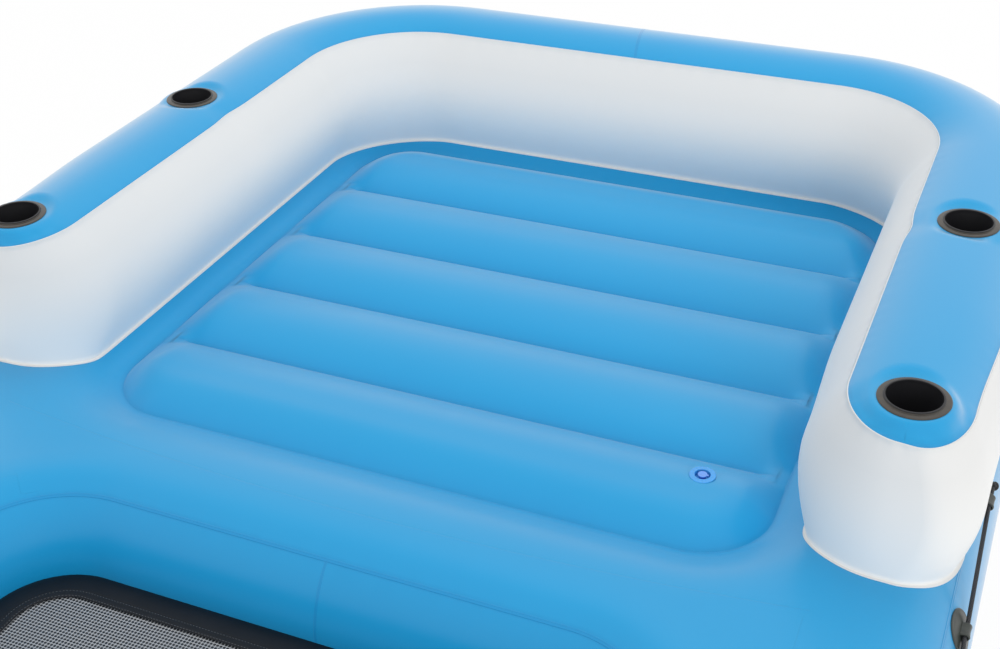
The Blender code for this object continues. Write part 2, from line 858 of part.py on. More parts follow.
def build_backrest(white, blue, base_tree):
    """Inner wall with the arms' fronts, outer wall, and the crowned panel on top."""
    across_steps = panel_across_steps
    wall_stations = (wall_arm_shares, wall_back_steps)
    levels = [backrest_level(share) for share in wall_level_shares]

    def foot_height(x, y):
        top = Vector((x, y, base_height + cut_overrun))
        hit = base_tree.ray_cast(top, Vector((0.0, 0.0, -1.0)))[0]
        return hit.z if hit else base_top_height(x, y)

    def wall(points_of_level, across_share):
        rows = [points_of_level(level) for level in levels]
        feet = []
        for step, (x, y) in enumerate(rows[0]):
            reach = [foot_height(x, y)]
            for other in (max(step - 1, 0), min(step + 1, len(rows[0]) - 1)):
                for share in foot_probe_shares:
                    spot = (mix(x, rows[0][other][0], share), mix(y, rows[0][other][1], share))
                    reach.append(foot_height(*spot))
            feet.append(max(reach) + seat_gap + weld_margin)
        tops = []
        for x, y in rows[-1]:
            tops.append(seam_height(x, y, across_share) - sheet_thickness - seat_gap)
        placed = []
        for row, share in zip(rows, wall_level_shares):
            placed.append([(x, y, mix(foot, top, share)) for (x, y), foot, top in zip(row, feet, tops)])
        return placed

    def inner_line(level):
        inner, outer = level.sides(wall_stations)
        right = [outer[step] for step in range(tip_steps, -1, -1)]
        left = [outer[len(outer) - 1 - step] for step in range(tip_steps + 1)]
        return right + inner + left

    def outer_line(level):
        outer = level.sides(wall_stations)[1]
        line = list(outer[tip_steps:len(outer) - tip_steps])
        line[0] = (line[0][0], line[0][1] + wall_joint_gap)
        line[-1] = (line[-1][0], line[-1][1] + wall_joint_gap)
        return line

    inner_wall = lofted_sheet("backrest_inner_wall", wall(inner_line, 0.0), white, False, outward=True)
    outer_wall = lofted_sheet("backrest_outer_wall", wall(outer_line, 1.0), white, False, outward=False)

    seam_level = backrest_level(1.0)
    arm_start = panel_front + panel_tip_inner_length
    arm_length = backrest_corner_y - arm_start
    stops = [arm_start]
    for cup_y in (cup_front_y, cup_rear_y):
        for reach in (-cup_blend_reach, -cup_flat_reach, 0.0, cup_flat_reach, cup_blend_reach):
            stops.append(cup_y + reach)
    stops.append((cup_front_y + cup_rear_y) / 2.0)
    stops.append(backrest_corner_y)
    on_arm = [stop for stop in stops if arm_start <= stop <= backrest_corner_y]
    shares = sorted((stop - arm_start) / arm_length for stop in on_arm)
    inner, outer = seam_level.sides((tuple(shares), panel_back_steps))
    points = []
    for station, (near, far) in enumerate(zip(inner, outer)):
        into_tip = tip_share(min(station, len(inner) - 1 - station))
        for step in range(across_steps + 1):
            share = step / across_steps
            x, y = mix(near[0], far[0], share), mix(near[1], far[1], share)
            at_edge = step in (0, across_steps) or station in (0, len(inner) - 1)
            height = seam_height(x, y, share) if at_edge else panel_height(x, y, share, into_tip)
            points.append((x, y, height))
    rows = []
    for step in range(across_steps + 1):
        rows.append(points[step::across_steps + 1])
    middle = len(inner) // 2
    panel_trees = {}
    for side, side_name in ((1.0, "right"), (-1.0, "left")):
        half_rows = []
        for step, row in enumerate(rows):
            joint_x = mix(panel_joint_inner_x, panel_joint_outer_x, step / across_steps)
            joint = (joint_x + side * seat_gap / 2.0, row[middle][1], row[middle][2])
            half_rows.append(row[:middle] + [joint] if side > 0 else [joint] + row[middle + 1:])
        panel = lofted_sheet("backrest_top_panel_" + side_name, half_rows, blue, False, outward=False)
        panel_trees[side] = outer_tree(panel)
        for cup_y in (cup_front_y, cup_rear_y):
            radius = cup_radius + cup_wall + seat_gap + flange_width - flange_weld_width
            low = cup_plane_height - cut_overrun
            high = cup_plane_height + cut_overrun
            cutter = helper("cup_cutter", rod_mesh("cup_cutter", radius, low, high, "z", turned_steps))
            cutter.location = (side * cup_centre_x, cup_y, 0.0)
            combine(panel, cutter, "DIFFERENCE")
    return outer_wall, panel_trees


def seat_height(tree, x, y, radius):
    """Height at which a flat round flange clears a surface."""
    heights = []
    for step in range(turned_steps):
        angle = 2.0 * math.pi * step / turned_steps
        for share in seat_probe_shares:
            across, along = radius * share * math.cos(angle), radius * share * math.sin(angle)
            start = Vector((x + across, y + along, base_back))
            heights.append(tree.ray_cast(start, Vector((0.0, 0.0, -1.0)))[0].z)
    return max(heights) + seat_gap


def build_cup_holders(ring_finish, bowl_finish, panel_trees):
    """Four moulded holders: a flange ring on the panel and a bowl hung in it."""
    bowl_outer = cup_radius + cup_wall
    ring_inner = bowl_outer + seat_gap
    ring_outer = ring_inner + flange_width
    lip_top = flange_thickness + flange_lip_height
    ring_profile = [
        (ring_inner, 0.0),
        (ring_outer, 0.0),
        (ring_outer, flange_rim_thickness),
        (ring_outer - flange_bevel, flange_thickness),
        (ring_inner + flange_lip_width, flange_thickness),
        (ring_inner + flange_lip_width, lip_top),
        (ring_inner, lip_top),
    ]
    lip_low = lip_top + seat_gap
    lip_high = lip_low + cup_lip_thickness
    lip_outer = ring_inner + cup_lip_width
    bowl_profile = [
        (0.0, lip_high - cup_depth),
        (cup_floor_radius - cup_wall, lip_high - cup_depth),
        (cup_floor_radius, lip_high - cup_depth + cup_wall),
        (bowl_outer, -cup_wall),
        (bowl_outer, lip_low),
        (lip_outer, lip_low),
        (lip_outer - cup_lip_thickness / 2.0, lip_high),
        (cup_radius, lip_high - cup_lip_thickness / 2.0),
        (cup_radius, -cup_wall),
        (cup_floor_radius - cup_wall, lip_high - cup_depth + 2.0 * cup_wall),
        (0.0, lip_high - cup_depth + 2.0 * cup_wall),
    ]
    ring_mesh = turned_mesh("cup_holder_flange", ring_profile, turned_steps)
    bowl_mesh = turned_mesh("cup_holder_bowl", bowl_profile, turned_steps)
    for side, side_name in ((-1.0, "left"), (1.0, "right")):
        for cup_y, end_name in ((cup_front_y, "front"), (cup_rear_y, "rear")):
            x = side * cup_centre_x
            place = (x, cup_y, seat_height(panel_trees[side], x, cup_y, ring_outer))
            ring = add_object("cup_holder_flange_%s_%s" % (side_name, end_name), ring_mesh, ring_finish)
            bowl = add_object("cup_holder_bowl_%s_%s" % (side_name, end_name), bowl_mesh, bowl_finish)
            ring.location = place
            bowl.location = place


def build_floor_valve(clear_blue, floor_top):
    """Small recessed valve: flange with its dish, stem that pulls out, and cap on a strap."""
    y = floor_valve_y
    tree = outer_tree(floor_top)
    seat = Vector((floor_valve_x, y, seat_height(tree, floor_valve_x, y, floor_valve_flange_radius)))
    hole = floor_valve_recess_radius + floor_valve_wall + sheet_hole_clearance
    hole_mesh = rod_mesh("valve_cutter", hole, -cut_overrun, cut_overrun, "z", turned_steps)
    cutter = helper("valve_cutter", hole_mesh, Matrix.Translation(seat))
    combine(floor_top, cutter, "DIFFERENCE")
    dish = floor_valve_recess_radius
    hole_radius = stem_radius + stem_clearance
    flange_profile = [
        (hole_radius, -floor_valve_recess_depth - floor_valve_wall),
        (dish + floor_valve_wall, -floor_valve_recess_depth - floor_valve_wall),
        (dish + floor_valve_wall, 0.0),
        (floor_valve_flange_radius, 0.0),
        (floor_valve_flange_radius - floor_valve_flange_thickness, floor_valve_flange_thickness),
        (dish, floor_valve_flange_thickness),
        (dish, -floor_valve_recess_depth),
        (hole_radius, -floor_valve_recess_depth),
    ]
    flange_mesh = turned_mesh("floor_valve_flange", flange_profile, turned_steps)
    flange = add_object("floor_valve_flange", flange_mesh, clear_blue)
    flange.location = seat
    hinge = floor_cap_hinge_height
    stem_top = hinge - floor_cap_thickness / 2.0 - seat_gap
    stem_profile = [
        (stem_bore_radius, stem_top - stem_length),
        (stem_radius, stem_top - stem_length),
        (stem_radius, stem_top - stem_collar_height),
        (stem_collar_radius, stem_top - stem_collar_height),
        (stem_collar_radius, stem_top),
        (stem_bore_radius, stem_top),
    ]
    stem_mesh = turned_mesh("floor_valve_stem", stem_profile, small_turned_steps)
    stem = add_object("floor_valve_stem", stem_mesh, clear_blue)
    stem.location = seat
    half_ear = floor_cap_ear_width / 2.0
    ear_radius = floor_cap_thickness / 2.0
    ear_top = hinge - ear_radius - seat_gap
    ear_start = (stem_radius + stem_collar_radius) / 2.0
    low = (ear_start, -half_ear, ear_top - stem_collar_height * stem_ear_share)
    high = (floor_cap_hinge_x + ear_radius, half_ear, ear_top)
    ear = helper("stem_ear", block_mesh("stem_ear", low, high), Matrix.Translation(seat))
    combine(stem, ear, "UNION")
    cap_profile = [
        (0.0, -floor_cap_plug_length - ear_radius),
        (floor_cap_plug_radius - stem_clearance, -floor_cap_plug_length - ear_radius),
        (floor_cap_plug_radius, -floor_cap_plug_length),
        (floor_cap_plug_radius, -ear_radius),
        (floor_cap_radius, -ear_radius),
        (floor_cap_radius, ear_radius / 2.0),
        (floor_cap_radius - ear_radius, ear_radius),
        (0.0, ear_radius),
    ]
    build_hinged_cap(
        "floor_valve_cap",
        cap_profile,
        clear_blue,
        Matrix.Translation(seat + Vector((0.0, 0.0, hinge))),
        floor_cap_hinge_x,
        half_ear,
        ear_radius,
        (floor_cap_radius + floor_cap_plug_radius) / 2.0,
    )


def build_hinged_cap(name, profile, finish, place, hinge_reach, half_ear, ear_radius, ear_start):
    """Round cap whose strap ends in a barrel on its hinge axis; the object's origin is on that axis."""
    disc = turned_mesh(name, profile, turned_steps)
    disc.transform(Matrix.Translation((-hinge_reach, 0.0, 0.0)))
    cap = add_object(name, disc, finish)
    cap.matrix_world = place @ Matrix.Translation((hinge_reach, 0.0, 0.0))
    half_strap = ear_radius * strap_thickness_share
    low = (ear_start - hinge_reach, -half_ear, -half_strap)
    strap = helper("cap_strap", block_mesh("cap_strap", low, (0.0, half_ear, half_strap)))
    barrel_mesh = rod_mesh("cap_barrel", ear_radius, -half_ear, half_ear, "y", cap_barrel_steps)
    barrel = helper("cap_barrel", barrel_mesh)
    for tool in (strap, barrel):
        tool.matrix_world = cap.matrix_world
        combine(cap, tool, "UNION")


def build_large_valve(prefix, wall, spot, body_finish, cap_finish):
    """Valve on a rear wall, facing back: body, screw-in insert and cap."""
    tree = outer_tree(wall)
    samples = []
    for step in range(turned_steps):
        angle = 2.0 * math.pi * step / turned_steps
        for share in seat_probe_shares:
            reach = valve_flange_radius * share
            across, up = reach * math.cos(angle), reach * math.sin(angle)
            start = Vector((spot[0] + across, base_back * 2.0, spot[1] + up))
            samples.append(tree.ray_cast(start, Vector((0.0, -1.0, 0.0)))[0].y)
    seat = Vector((spot[0], max(samples) + seat_gap, spot[1]))
    place = Matrix.Translation(seat) @ Matrix.Rotation(-math.pi / 2.0, 4, "X")
    barrel_outer = valve_bore_radius + valve_barrel_wall
    hole = barrel_outer + sheet_hole_clearance
    hole_mesh = rod_mesh("valve_cutter", hole, -cut_overrun, cut_overrun, "z", turned_steps)
    cutter = helper("valve_cutter", hole_mesh, place)
    combine(wall, cutter, "DIFFERENCE")
    body_profile = [
        (valve_bore_radius, -valve_barrel_depth),
        (barrel_outer, -valve_barrel_depth),
        (barrel_outer, 0.0),
        (valve_flange_radius, 0.0),
        (valve_flange_radius - valve_flange_thickness, valve_flange_thickness),
        (valve_bore_radius, valve_flange_thickness),
    ]
    body_mesh = turned_mesh(prefix + "_body", body_profile, turned_steps)
    body = add_object(prefix + "_body", body_mesh, body_finish)
    body.matrix_world = place
    tube_outer = valve_bore_radius - valve_thread_clearance
    tube_inner = tube_outer - valve_insert_wall
    grip_low = valve_flange_thickness + seat_gap
    grip_high = grip_low + valve_grip_height
    insert_profile = [
        (valve_insert_mouth_radius, -valve_insert_depth),
        (tube_outer, -valve_insert_depth),
        (tube_outer, grip_low),
        (valve_grip_radius, grip_low),
        (valve_grip_radius, grip_high),
        (tube_inner, grip_high),
        (tube_inner, -valve_insert_depth + valve_insert_floor),
        (valve_insert_mouth_radius, -valve_insert_depth + valve_insert_floor),
    ]
    notch = ((valve_grip_radius + tube_outer) / 2.0, valve_grip_notch)
    insert_mesh = turned_mesh(prefix + "_insert", insert_profile, turned_steps, notch)
    insert = add_object(prefix + "_insert", insert_mesh, body_finish)
    insert.matrix_world = place
    ear_radius = valve_cap_thickness / 2.0
    half_ear = valve_cap_ear_width / 2.0
    low = (tube_outer, -half_ear, grip_low)
    high = (valve_cap_hinge_reach + ear_radius, half_ear, grip_high)
    ear = helper("insert_ear", block_mesh("insert_ear", low, high), place)
    combine(insert, ear, "UNION")
    plug_outer = tube_inner - valve_cap_plug_clearance
    cap_profile = [
        (0.0, -ear_radius - valve_cap_plug_length),
        (plug_outer - valve_insert_floor, -ear_radius - valve_cap_plug_length),
        (plug_outer, -valve_cap_plug_length),
        (plug_outer, -ear_radius),
        (valve_cap_radius, -ear_radius),
        (valve_cap_radius, ear_radius / 2.0),
        (valve_cap_radius - ear_radius, ear_radius),
        (0.0, ear_radius),
    ]
    lift = Matrix.Translation((0.0, 0.0, grip_high + seat_gap + ear_radius))
    start = (valve_cap_radius + plug_outer) / 2.0
    build_hinged_cap(
        prefix + "_cap",
        cap_profile,
        cap_finish,
        place @ lift,
        valve_cap_hinge_reach,
        half_ear,
        ear_radius,
        start,
    )


def build_net(net_finish, border_finish, edging_finish):
    """Net of the foot well with its border band, welded to the well wall, and the edging over their seam."""
    border_top = net_height + net_thickness + seat_gap + border_thickness
    border_inner = -seat_gap - border_width
    flat_panel(
        "mesh_panel",
        well_outline.loop(border_inner + border_lap),
        net_height,
        net_height + net_thickness,
        net_finish,
    )
    flat_ring(
        "mesh_border",
        well_outline.loop(-seat_gap),
        well_outline.loop(border_inner),
        border_top - border_thickness,
        border_top,
        border_finish,
    )
    flat_ring(
        "mesh_edging",
        well_outline.loop(border_inner + edging_lap),
        well_outline.loop(border_inner + edging_lap - edging_width),
        border_top + seat_gap,
        border_top + seat_gap + edging_thickness,
        edging_finish,
    )


bore_height = patch_thickness + patch_bore_lift + patch_bore_radius


def patch_mesh(name, corner_share):
    """Oval rope patch lying on its back face, bent to the wall, with a tunnel for the rope along x."""
    plate = bmesh.new()
    rows = patch_plate_rows
    levels = []
    for height, inset in ((0.0, 0.0), (patch_thickness, patch_rim_inset)):
        level = []
        for row in range(rows):
            angle = math.pi * (row + 0.5) / rows - math.pi / 2.0
            x = (patch_half_length - inset) * math.cos(angle)
            y = (patch_half_width - inset) * math.sin(angle)
            level.append((plate.verts.new((-x, y, height)), plate.verts.new((x, y, height))))
        levels.append(level)
    low, high = levels
    for row in range(rows - 1):
        plate.faces.new((low[row][0], low[row + 1][0], low[row + 1][1], low[row][1]))
        plate.faces.new((high[row][0], high[row][1], high[row + 1][1], high[row + 1][0]))
        plate.faces.new((low[row][0], high[row][0], high[row + 1][0], low[row + 1][0]))
        plate.faces.new((low[row][1], low[row + 1][1], high[row + 1][1], high[row][1]))
    plate.faces.new((low[0][0], low[0][1], high[0][1], high[0][0]))
    plate.faces.new((low[-1][0], high[-1][0], high[-1][1], low[-1][1]))
    mesh = bpy.data.meshes.new("rope_patch_plate")
    plate.to_mesh(mesh)
    plate.free()
    body = helper("rope_patch_shape", mesh)
    outer = patch_bore_radius + patch_bridge_wall
    foot = outer * patch_foot_share
    half = patch_bridge_length / 2.0
    bridge = bmesh.new()
    profile = [(-foot, patch_thickness / 2.0)]
    for step in range(bridge_arc_steps + 1):
        angle = math.pi * (1.0 - step / bridge_arc_steps)
        profile.append((outer * math.cos(angle), bore_height + outer * math.sin(angle)))
    profile.append((foot, patch_thickness / 2.0))
    face = bridge.faces.new([bridge.verts.new((-half, y, z)) for y, z in profile])
    grown = bmesh.ops.extrude_face_region(bridge, geom=[face])["geom"]
    moved = [item for item in grown if isinstance(item, bmesh.types.BMVert)]
    bmesh.ops.translate(bridge, verts=moved, vec=(patch_bridge_length, 0.0, 0.0))
    bmesh.ops.recalc_face_normals(bridge, faces=bridge.faces[:])
    bridge_mesh = bpy.data.meshes.new("rope_patch_bridge")
    bridge.to_mesh(bridge_mesh)
    bridge.free()
    combine(body, helper("rope_patch_bridge", bridge_mesh), "UNION")
    end = patch_half_length
    bore = rod_mesh("rope_patch_bore", patch_bore_radius, -end, end, "x", bore_steps)
    bore.transform(Matrix.Translation((0.0, 0.0, bore_height)))
    combine(body, helper("rope_patch_bore", bore), "DIFFERENCE")
    shaped = evaluated(body)
    for vertex in shaped.vertices:
        vertex.co.z -= vertex.co.y ** 2 / (2.0 * patch_bend_radius)
        vertex.co.z -= corner_share * vertex.co.x ** 2 / (2.0 * base_front_radius)
    shaped.name = name
    bpy.data.objects.remove(body)
    return shaped


def seat_patch(mesh, tree, point, along, outward):
    """Matrix that lays the patch on a wall, its back a seat gap clear of it."""
    up = outward.cross(along).normalized()
    place = Matrix.Translation(point) @ Matrix((along, up, outward)).transposed().to_4x4()
    surface = bmesh.new()
    surface.from_mesh(mesh)
    patch_tree = BVHTree.FromBMesh(surface)
    surface.free()
    clear = []
    for column in range(-patch_probes, patch_probes + 1):
        for row in range(-patch_probes, patch_probes + 1):
            x = patch_half_length * column / patch_probes
            y = patch_half_width * row / patch_probes
            back = patch_tree.ray_cast(Vector((x, y, -patch_half_length)), Vector((0.0, 0.0, 1.0)))[0]
            start = place @ Vector((x, y, patch_half_length))
            hit = tree.ray_cast(start, -outward, patch_probe_reach)[0]
            if back and hit:
                clear.append(back.z + (start - hit).length - patch_half_length)
    for vertex in mesh.vertices:
        start = place @ Vector((vertex.co.x, vertex.co.y, patch_half_length))
        hit = tree.ray_cast(start, -outward, patch_probe_reach)[0]
        if hit:
            clear.append(vertex.co.z + (start - hit).length - patch_half_length)
    return place @ Matrix.Translation((0.0, 0.0, seat_gap - min(clear)))


def base_wall_place(reach, angle):
    """Point and outward normal on the base's outer wall, by distance along the outline and section angle."""
    edge, outward = base_outline.place(reach)
    inset = shoulder_reach * (1.0 - math.sin(angle))
    point = edge - outward * inset
    point.z = base_middle_height * (1.0 + math.cos(angle))
    normal = outward * math.sin(angle) * base_middle_height
    normal.z = math.cos(angle) * shoulder_reach
    return point, normal.normalized()


def build_rope(patch_finish, rope_finish, base_outer, backrest_outer):
    """Patches along both sides and the front, and the rope that runs through them to a knot at each end."""
    base_tree = outer_tree(base_outer)
    wall_tree = outer_tree(backrest_outer)
    straight = patch_mesh("rope_patch", 0.0)
    bent = patch_mesh("rope_patch_bent", 1.0)
    corner_start = base_half_width - base_front_radius
    corner_end = corner_start + base_front_radius * math.pi / 2.0
    meshes = [straight]
    reaches = [patch_spacing * (index + 0.5) for index in range(patches_per_side)]
    reaches = [-reach for reach in reversed(reaches)] + reaches
    places = []
    for reach in reaches:
        point, normal = base_wall_place(reach, patch_angle)
        flat = Vector((normal.x, normal.y, 0.0)).normalized()
        along = Vector((0.0, 0.0, 1.0)).cross(flat).normalized()
        mesh = bent if corner_start < abs(reach) < corner_end else straight
        meshes.append(mesh)
        places.append((reach, seat_patch(mesh, base_tree, point, along, normal)))
    meshes.append(straight)
    wall_places = []
    for side in (-1.0, 1.0):
        start = Vector((side * base_half_width * 2.0, wall_patch_y, wall_patch_height))
        hit, normal = wall_tree.ray_cast(start, Vector((-side, 0.0, 0.0)))[:2]
        normal = Vector((normal.x, 0.0, normal.z)).normalized()
        along = Vector((0.0, side, 0.0))
        wall_places.append(seat_patch(straight, wall_tree, hit, along, normal))
    ordered = [wall_places[0]] + [place for _, place in places] + [wall_places[1]]
    half = len(ordered) // 2
    for index, place in enumerate(ordered):
        side_name = "left" if index < half else "right"
        number = half - index if index < half else index - half + 1
        patch = add_object("rope_patch_%s_%d" % (side_name, number), meshes[index], patch_finish)
        patch.matrix_world = place

    def through(place, reach):
        return place @ Vector((reach, 0.0, bore_height))

    route = []
    for index, place in enumerate(ordered):
        route.append((through(place, -rope_straight_reach), 1.0))
        route.append((through(place, rope_straight_reach), 1.0))
        on_base = 0 < index < len(ordered) - 2
        if on_base:
            start, end = places[index - 1][0], places[index][0]
            start_lift = (through(place, 0.0) - base_wall_place(start, patch_angle)[0]).length
            for share in rope_span_shares:
                angle = patch_angle + rope_droop_angle * math.sin(math.pi * share)
                point, normal = base_wall_place(mix(start, end, share), angle)
                route.append((point + normal * start_lift, 1.0))
    first, last = ordered[0], ordered[-1]
    ends = []
    for share in (0.0, knot_full_share, 1.0 - knot_full_share, 1.0):
        swell = knot_swell_share if 0.0 < share < 1.0 else 1.0
        ends.append((rope_end_reach + knot_length * share, swell))
    head = [(through(first, -reach), swell) for reach, swell in reversed(ends)]
    tail = [(through(last, reach), swell) for reach, swell in ends]
    route = head + route + tail
    curve = bpy.data.curves.new("grab_rope", "CURVE")
    curve.dimensions = "3D"
    curve.bevel_depth = rope_diameter / 2.0
    curve.bevel_resolution = rope_bevel_resolution
    curve.use_fill_caps = True
    spline = curve.splines.new("POLY")
    spline.points.add(len(route) - 1)
    for point, (place, swell) in zip(spline.points, route):
        point.co = (*place, 1.0)
        point.radius = swell
    curve.materials.append(rope_finish)
    rope = bpy.data.objects.new("grab_rope", curve)
    bpy.context.scene.collection.objects.link(rope)
    length = sum((route[index + 1][0] - route[index][0]).length for index in range(len(route) - 1))
    print("grab rope length %.3f m, %d points" % (length, len(route)))


def main():
    clear_scene()
    blue = material("sky_blue_sheet", (0.08, 0.42, 0.82), 0.32)
    white = material("white_sheet", (0.80, 0.83, 0.85), 0.38)
    web = material("web_sheet", (0.62, 0.72, 0.80), 0.45)
    ring = material("smoke_ring", (0.22, 0.20, 0.18), 0.25)
    bowl = material("black_bowl", (0.015, 0.015, 0.018), 0.35)
    clear_blue = material("valve_blue", (0.10, 0.25, 0.70), 0.20)
    valve_white = material("valve_grey", (0.55, 0.57, 0.60), 0.40)
    net = material("grey_net", (0.35, 0.37, 0.40), 0.70)
    border = material("black_border", (0.02, 0.022, 0.028), 0.35)
    edging = material("black_edging", (0.025, 0.025, 0.028), 0.65)
    patch = material("charcoal_patch", (0.06, 0.07, 0.07), 0.45)
    rope = material("black_rope", (0.02, 0.02, 0.024), 0.75)
    base_top, base_outer = build_base(blue)
    floor_top = build_floor(blue, web)
    backrest_outer, panel_trees = build_backrest(white, blue, outer_tree(base_top))
    build_cup_holders(ring, bowl, panel_trees)
    build_floor_valve(clear_blue, floor_top)
    build_rope(patch, rope, base_outer, backrest_outer)
    build_large_valve("base_valve", base_outer, (base_valve_x, base_middle_height), valve_white, valve_white)
    build_large_valve(
        "backrest_valve", backrest_outer, (backrest_valve_x, backrest_valve_height), valve_white, valve_white
    )
    build_net(net, border, edging)


main()
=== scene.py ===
"""Inflatable floating island: the visible sheets, welds, net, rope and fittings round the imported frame.

Each group of pieces has its own operator and its own settings; main() runs them in order.
Lengths are metres. +Y points to the back of the backrest, +Z up, and the ground is at zero.
"""

import math

import bmesh
import bpy
from bpy.props import FloatProperty, FloatVectorProperty, IntProperty, PointerProperty
from bpy.types import Operator, Panel, PropertyGroup
from mathutils import Matrix, Vector
from mathutils.bvhtree import BVHTree
from mathutils.geometry import delaunay_2d_cdt


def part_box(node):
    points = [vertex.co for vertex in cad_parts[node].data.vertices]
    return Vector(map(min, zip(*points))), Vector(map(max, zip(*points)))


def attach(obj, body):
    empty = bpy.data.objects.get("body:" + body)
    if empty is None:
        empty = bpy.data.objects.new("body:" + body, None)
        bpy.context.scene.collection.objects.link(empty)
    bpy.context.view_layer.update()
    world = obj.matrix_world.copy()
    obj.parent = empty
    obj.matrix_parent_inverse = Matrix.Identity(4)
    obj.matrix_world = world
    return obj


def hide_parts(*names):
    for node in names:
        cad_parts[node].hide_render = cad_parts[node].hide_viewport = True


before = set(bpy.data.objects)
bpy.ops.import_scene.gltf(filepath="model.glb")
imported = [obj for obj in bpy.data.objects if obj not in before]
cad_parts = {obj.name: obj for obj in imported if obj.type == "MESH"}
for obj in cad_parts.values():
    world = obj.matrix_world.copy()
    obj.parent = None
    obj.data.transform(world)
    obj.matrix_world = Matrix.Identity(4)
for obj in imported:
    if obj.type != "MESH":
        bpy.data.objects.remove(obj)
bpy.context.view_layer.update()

bl_info = {
    "name": "Floating island",
    "version": (1, 0, 0),
    "blender": (4, 5, 0),
    "location": "3D View > Sidebar > Island",
    "description": "Builds an inflatable island with a ribbed floor, a backrest, a net foot well and a grab rope",
    "category": "Add Mesh",
}

BODY = "island"

# Base ring
BASE_HALF_WIDTH = 1.260
BASE_BACK = 1.765
BASE_FRONT = -1.774
BASE_HEIGHT = 0.420
BASE_MIDDLE = BASE_HEIGHT / 2.0
SHOULDER_REACH = 0.200
SEAM_ANGLE = math.radians(48)
WELL_SEAM_ANGLE = math.radians(38)
CREST_BLEND = 0.020

# Floor
FLOOR_HALF_WIDTH = 0.822
FLOOR_BACK = 1.330
FLOOR_FRONT = -0.220
VALLEY_HEIGHT = 0.360
FLOOR_RISE = 0.200
FLOOR_EDGE = 0.110
BEAMS = 5
BEAM_DEPTH = (FLOOR_BACK - FLOOR_FRONT) / BEAMS
BEAM_CROWN = 0.052
BEAM_POWER = 2.2
SEAM_HALF_LENGTH = 0.795
SEAM_FADE = 0.050
END_SWELL = 0.30
UNDER_VALLEY = 0.050
UNDER_RISE = 0.120
UNDER_CROWN = 0.035

# Backrest: half widths and depths of its foot and of the panel's seam
CORNER = (0.607, 1.112)
FOOT_INNER = (0.897, 1.396)
FOOT_OUTER = (1.206, 1.711)
PANEL_INNER = (0.937, 1.442)
PANEL_OUTER = (1.200, 1.705)
FOOT_FRONT = -0.215
PANEL_FRONT = -0.190
SEAM_INNER_HEIGHT = 0.738
SEAM_OUTER_HEIGHT = 0.717
PANEL_CROWN = 0.046
PANEL_TIP_LENGTH = 0.160
CUP_X = 1.0685
CUP_YS = (-0.086, 0.674)
CUP_PLANE = 0.762


def mix(start, end, share):
    """Value between two others."""
    return start + (end - start) * share


def smooth_step(start, end, value):
    """Smooth rise from 0 at start to 1 at end."""
    share = min(max((value - start) / (end - start), 0.0), 1.0)
    return share * share * (3.0 - 2.0 * share)


def smooth_minimum(first, second, blend):
    """Lower of two heights, rounded where they cross."""
    share = max(blend - abs(first - second), 0.0) / blend
    return min(first, second) - share * share * blend / 4.0


class Outline:
    """Rectangle with round corners, seen from above."""

    def __init__(self, half_width, front, back, front_radius, back_radius):
        self.half_width = half_width
        self.front = front
        self.back = back
        self.front_radius = front_radius
        self.back_radius = back_radius

    def distance(self, x, y):
        """Distance to the outline, positive outside."""
        middle = (self.front + self.back) / 2.0
        half_length = (self.back - self.front) / 2.0
        radius = self.back_radius if y > middle else self.front_radius
        across = abs(x) - self.half_width + radius
        along = abs(y - middle) - half_length + radius
        outside = math.hypot(max(across, 0.0), max(along, 0.0))
        return outside + min(max(across, along), 0.0) - radius

    def loop(self, offset, spacing=0.025, corner_steps=24):
        """Points round the outline, counter-clockwise, moved outward by offset."""
        corners = []
        for index, (side, end) in enumerate(((1, 1), (-1, 1), (-1, -1), (1, -1))):
            radius = self.back_radius if end > 0 else self.front_radius
            centre_y = self.back - radius if end > 0 else self.front + radius
            corners.append((side * (self.half_width - radius), centre_y, radius + offset, index))
        arcs = []
        for x, y, radius, index in corners:
            arc = []
            for step in range(corner_steps + 1):
                angle = math.pi / 2.0 * (index + step / corner_steps)
                arc.append((x + radius * math.cos(angle), y + radius * math.sin(angle)))
            arcs.append(arc)
        points = []
        for index, arc in enumerate(arcs):
            points.extend(arc)
            start, end = arc[-1], arcs[(index + 1) % 4][0]
            steps = max(int(math.dist(start, end) / spacing), 2)
            points.extend(
                (mix(start[0], end[0], step / steps), mix(start[1], end[1], step / steps))
                for step in range(1, steps)
            )
        return points

    def run(self, x, y):
        """Distance walked along the outline to the place nearest to a point."""
        middle = (self.front + self.back) / 2.0
        radius = self.back_radius if y > middle else self.front_radius
        centre_x = self.half_width - radius
        centre_y = self.back - radius if y > middle else self.front + radius
        across, along = abs(x) - centre_x, abs(y - middle) - abs(centre_y - middle)
        if across > 0.0 and along > 0.0:
            walked = abs(centre_y - middle) + radius * math.atan2(along, across)
        elif across > along:
            walked = abs(y - middle)
        else:
            walked = abs(centre_y - middle) + radius * math.pi / 2.0 + centre_x - abs(x)
        return walked


BASE_OUTLINE = Outline(BASE_HALF_WIDTH, BASE_FRONT, BASE_BACK, 0.480, 0.653)
FLOOR_OUTLINE = Outline(FLOOR_HALF_WIDTH, FLOOR_FRONT, FLOOR_BACK, 0.170, 0.180)
WELL_OUTLINE = Outline(0.712, -1.305, -0.610, 0.180, 0.180)
OUTER_SEAM_INSET = SHOULDER_REACH * (1.0 - math.sin(SEAM_ANGLE))
WELL_SEAM_INSET = SHOULDER_REACH * (1.0 - math.sin(WELL_SEAM_ANGLE))


def shoulder_height(distance):
    """Height of the ring's upper skin at a distance in from its widest line."""
    share = min(max(distance / SHOULDER_REACH, 0.0), 1.0)
    return BASE_MIDDLE + BASE_MIDDLE * math.sqrt(1.0 - (1.0 - share) ** 2)


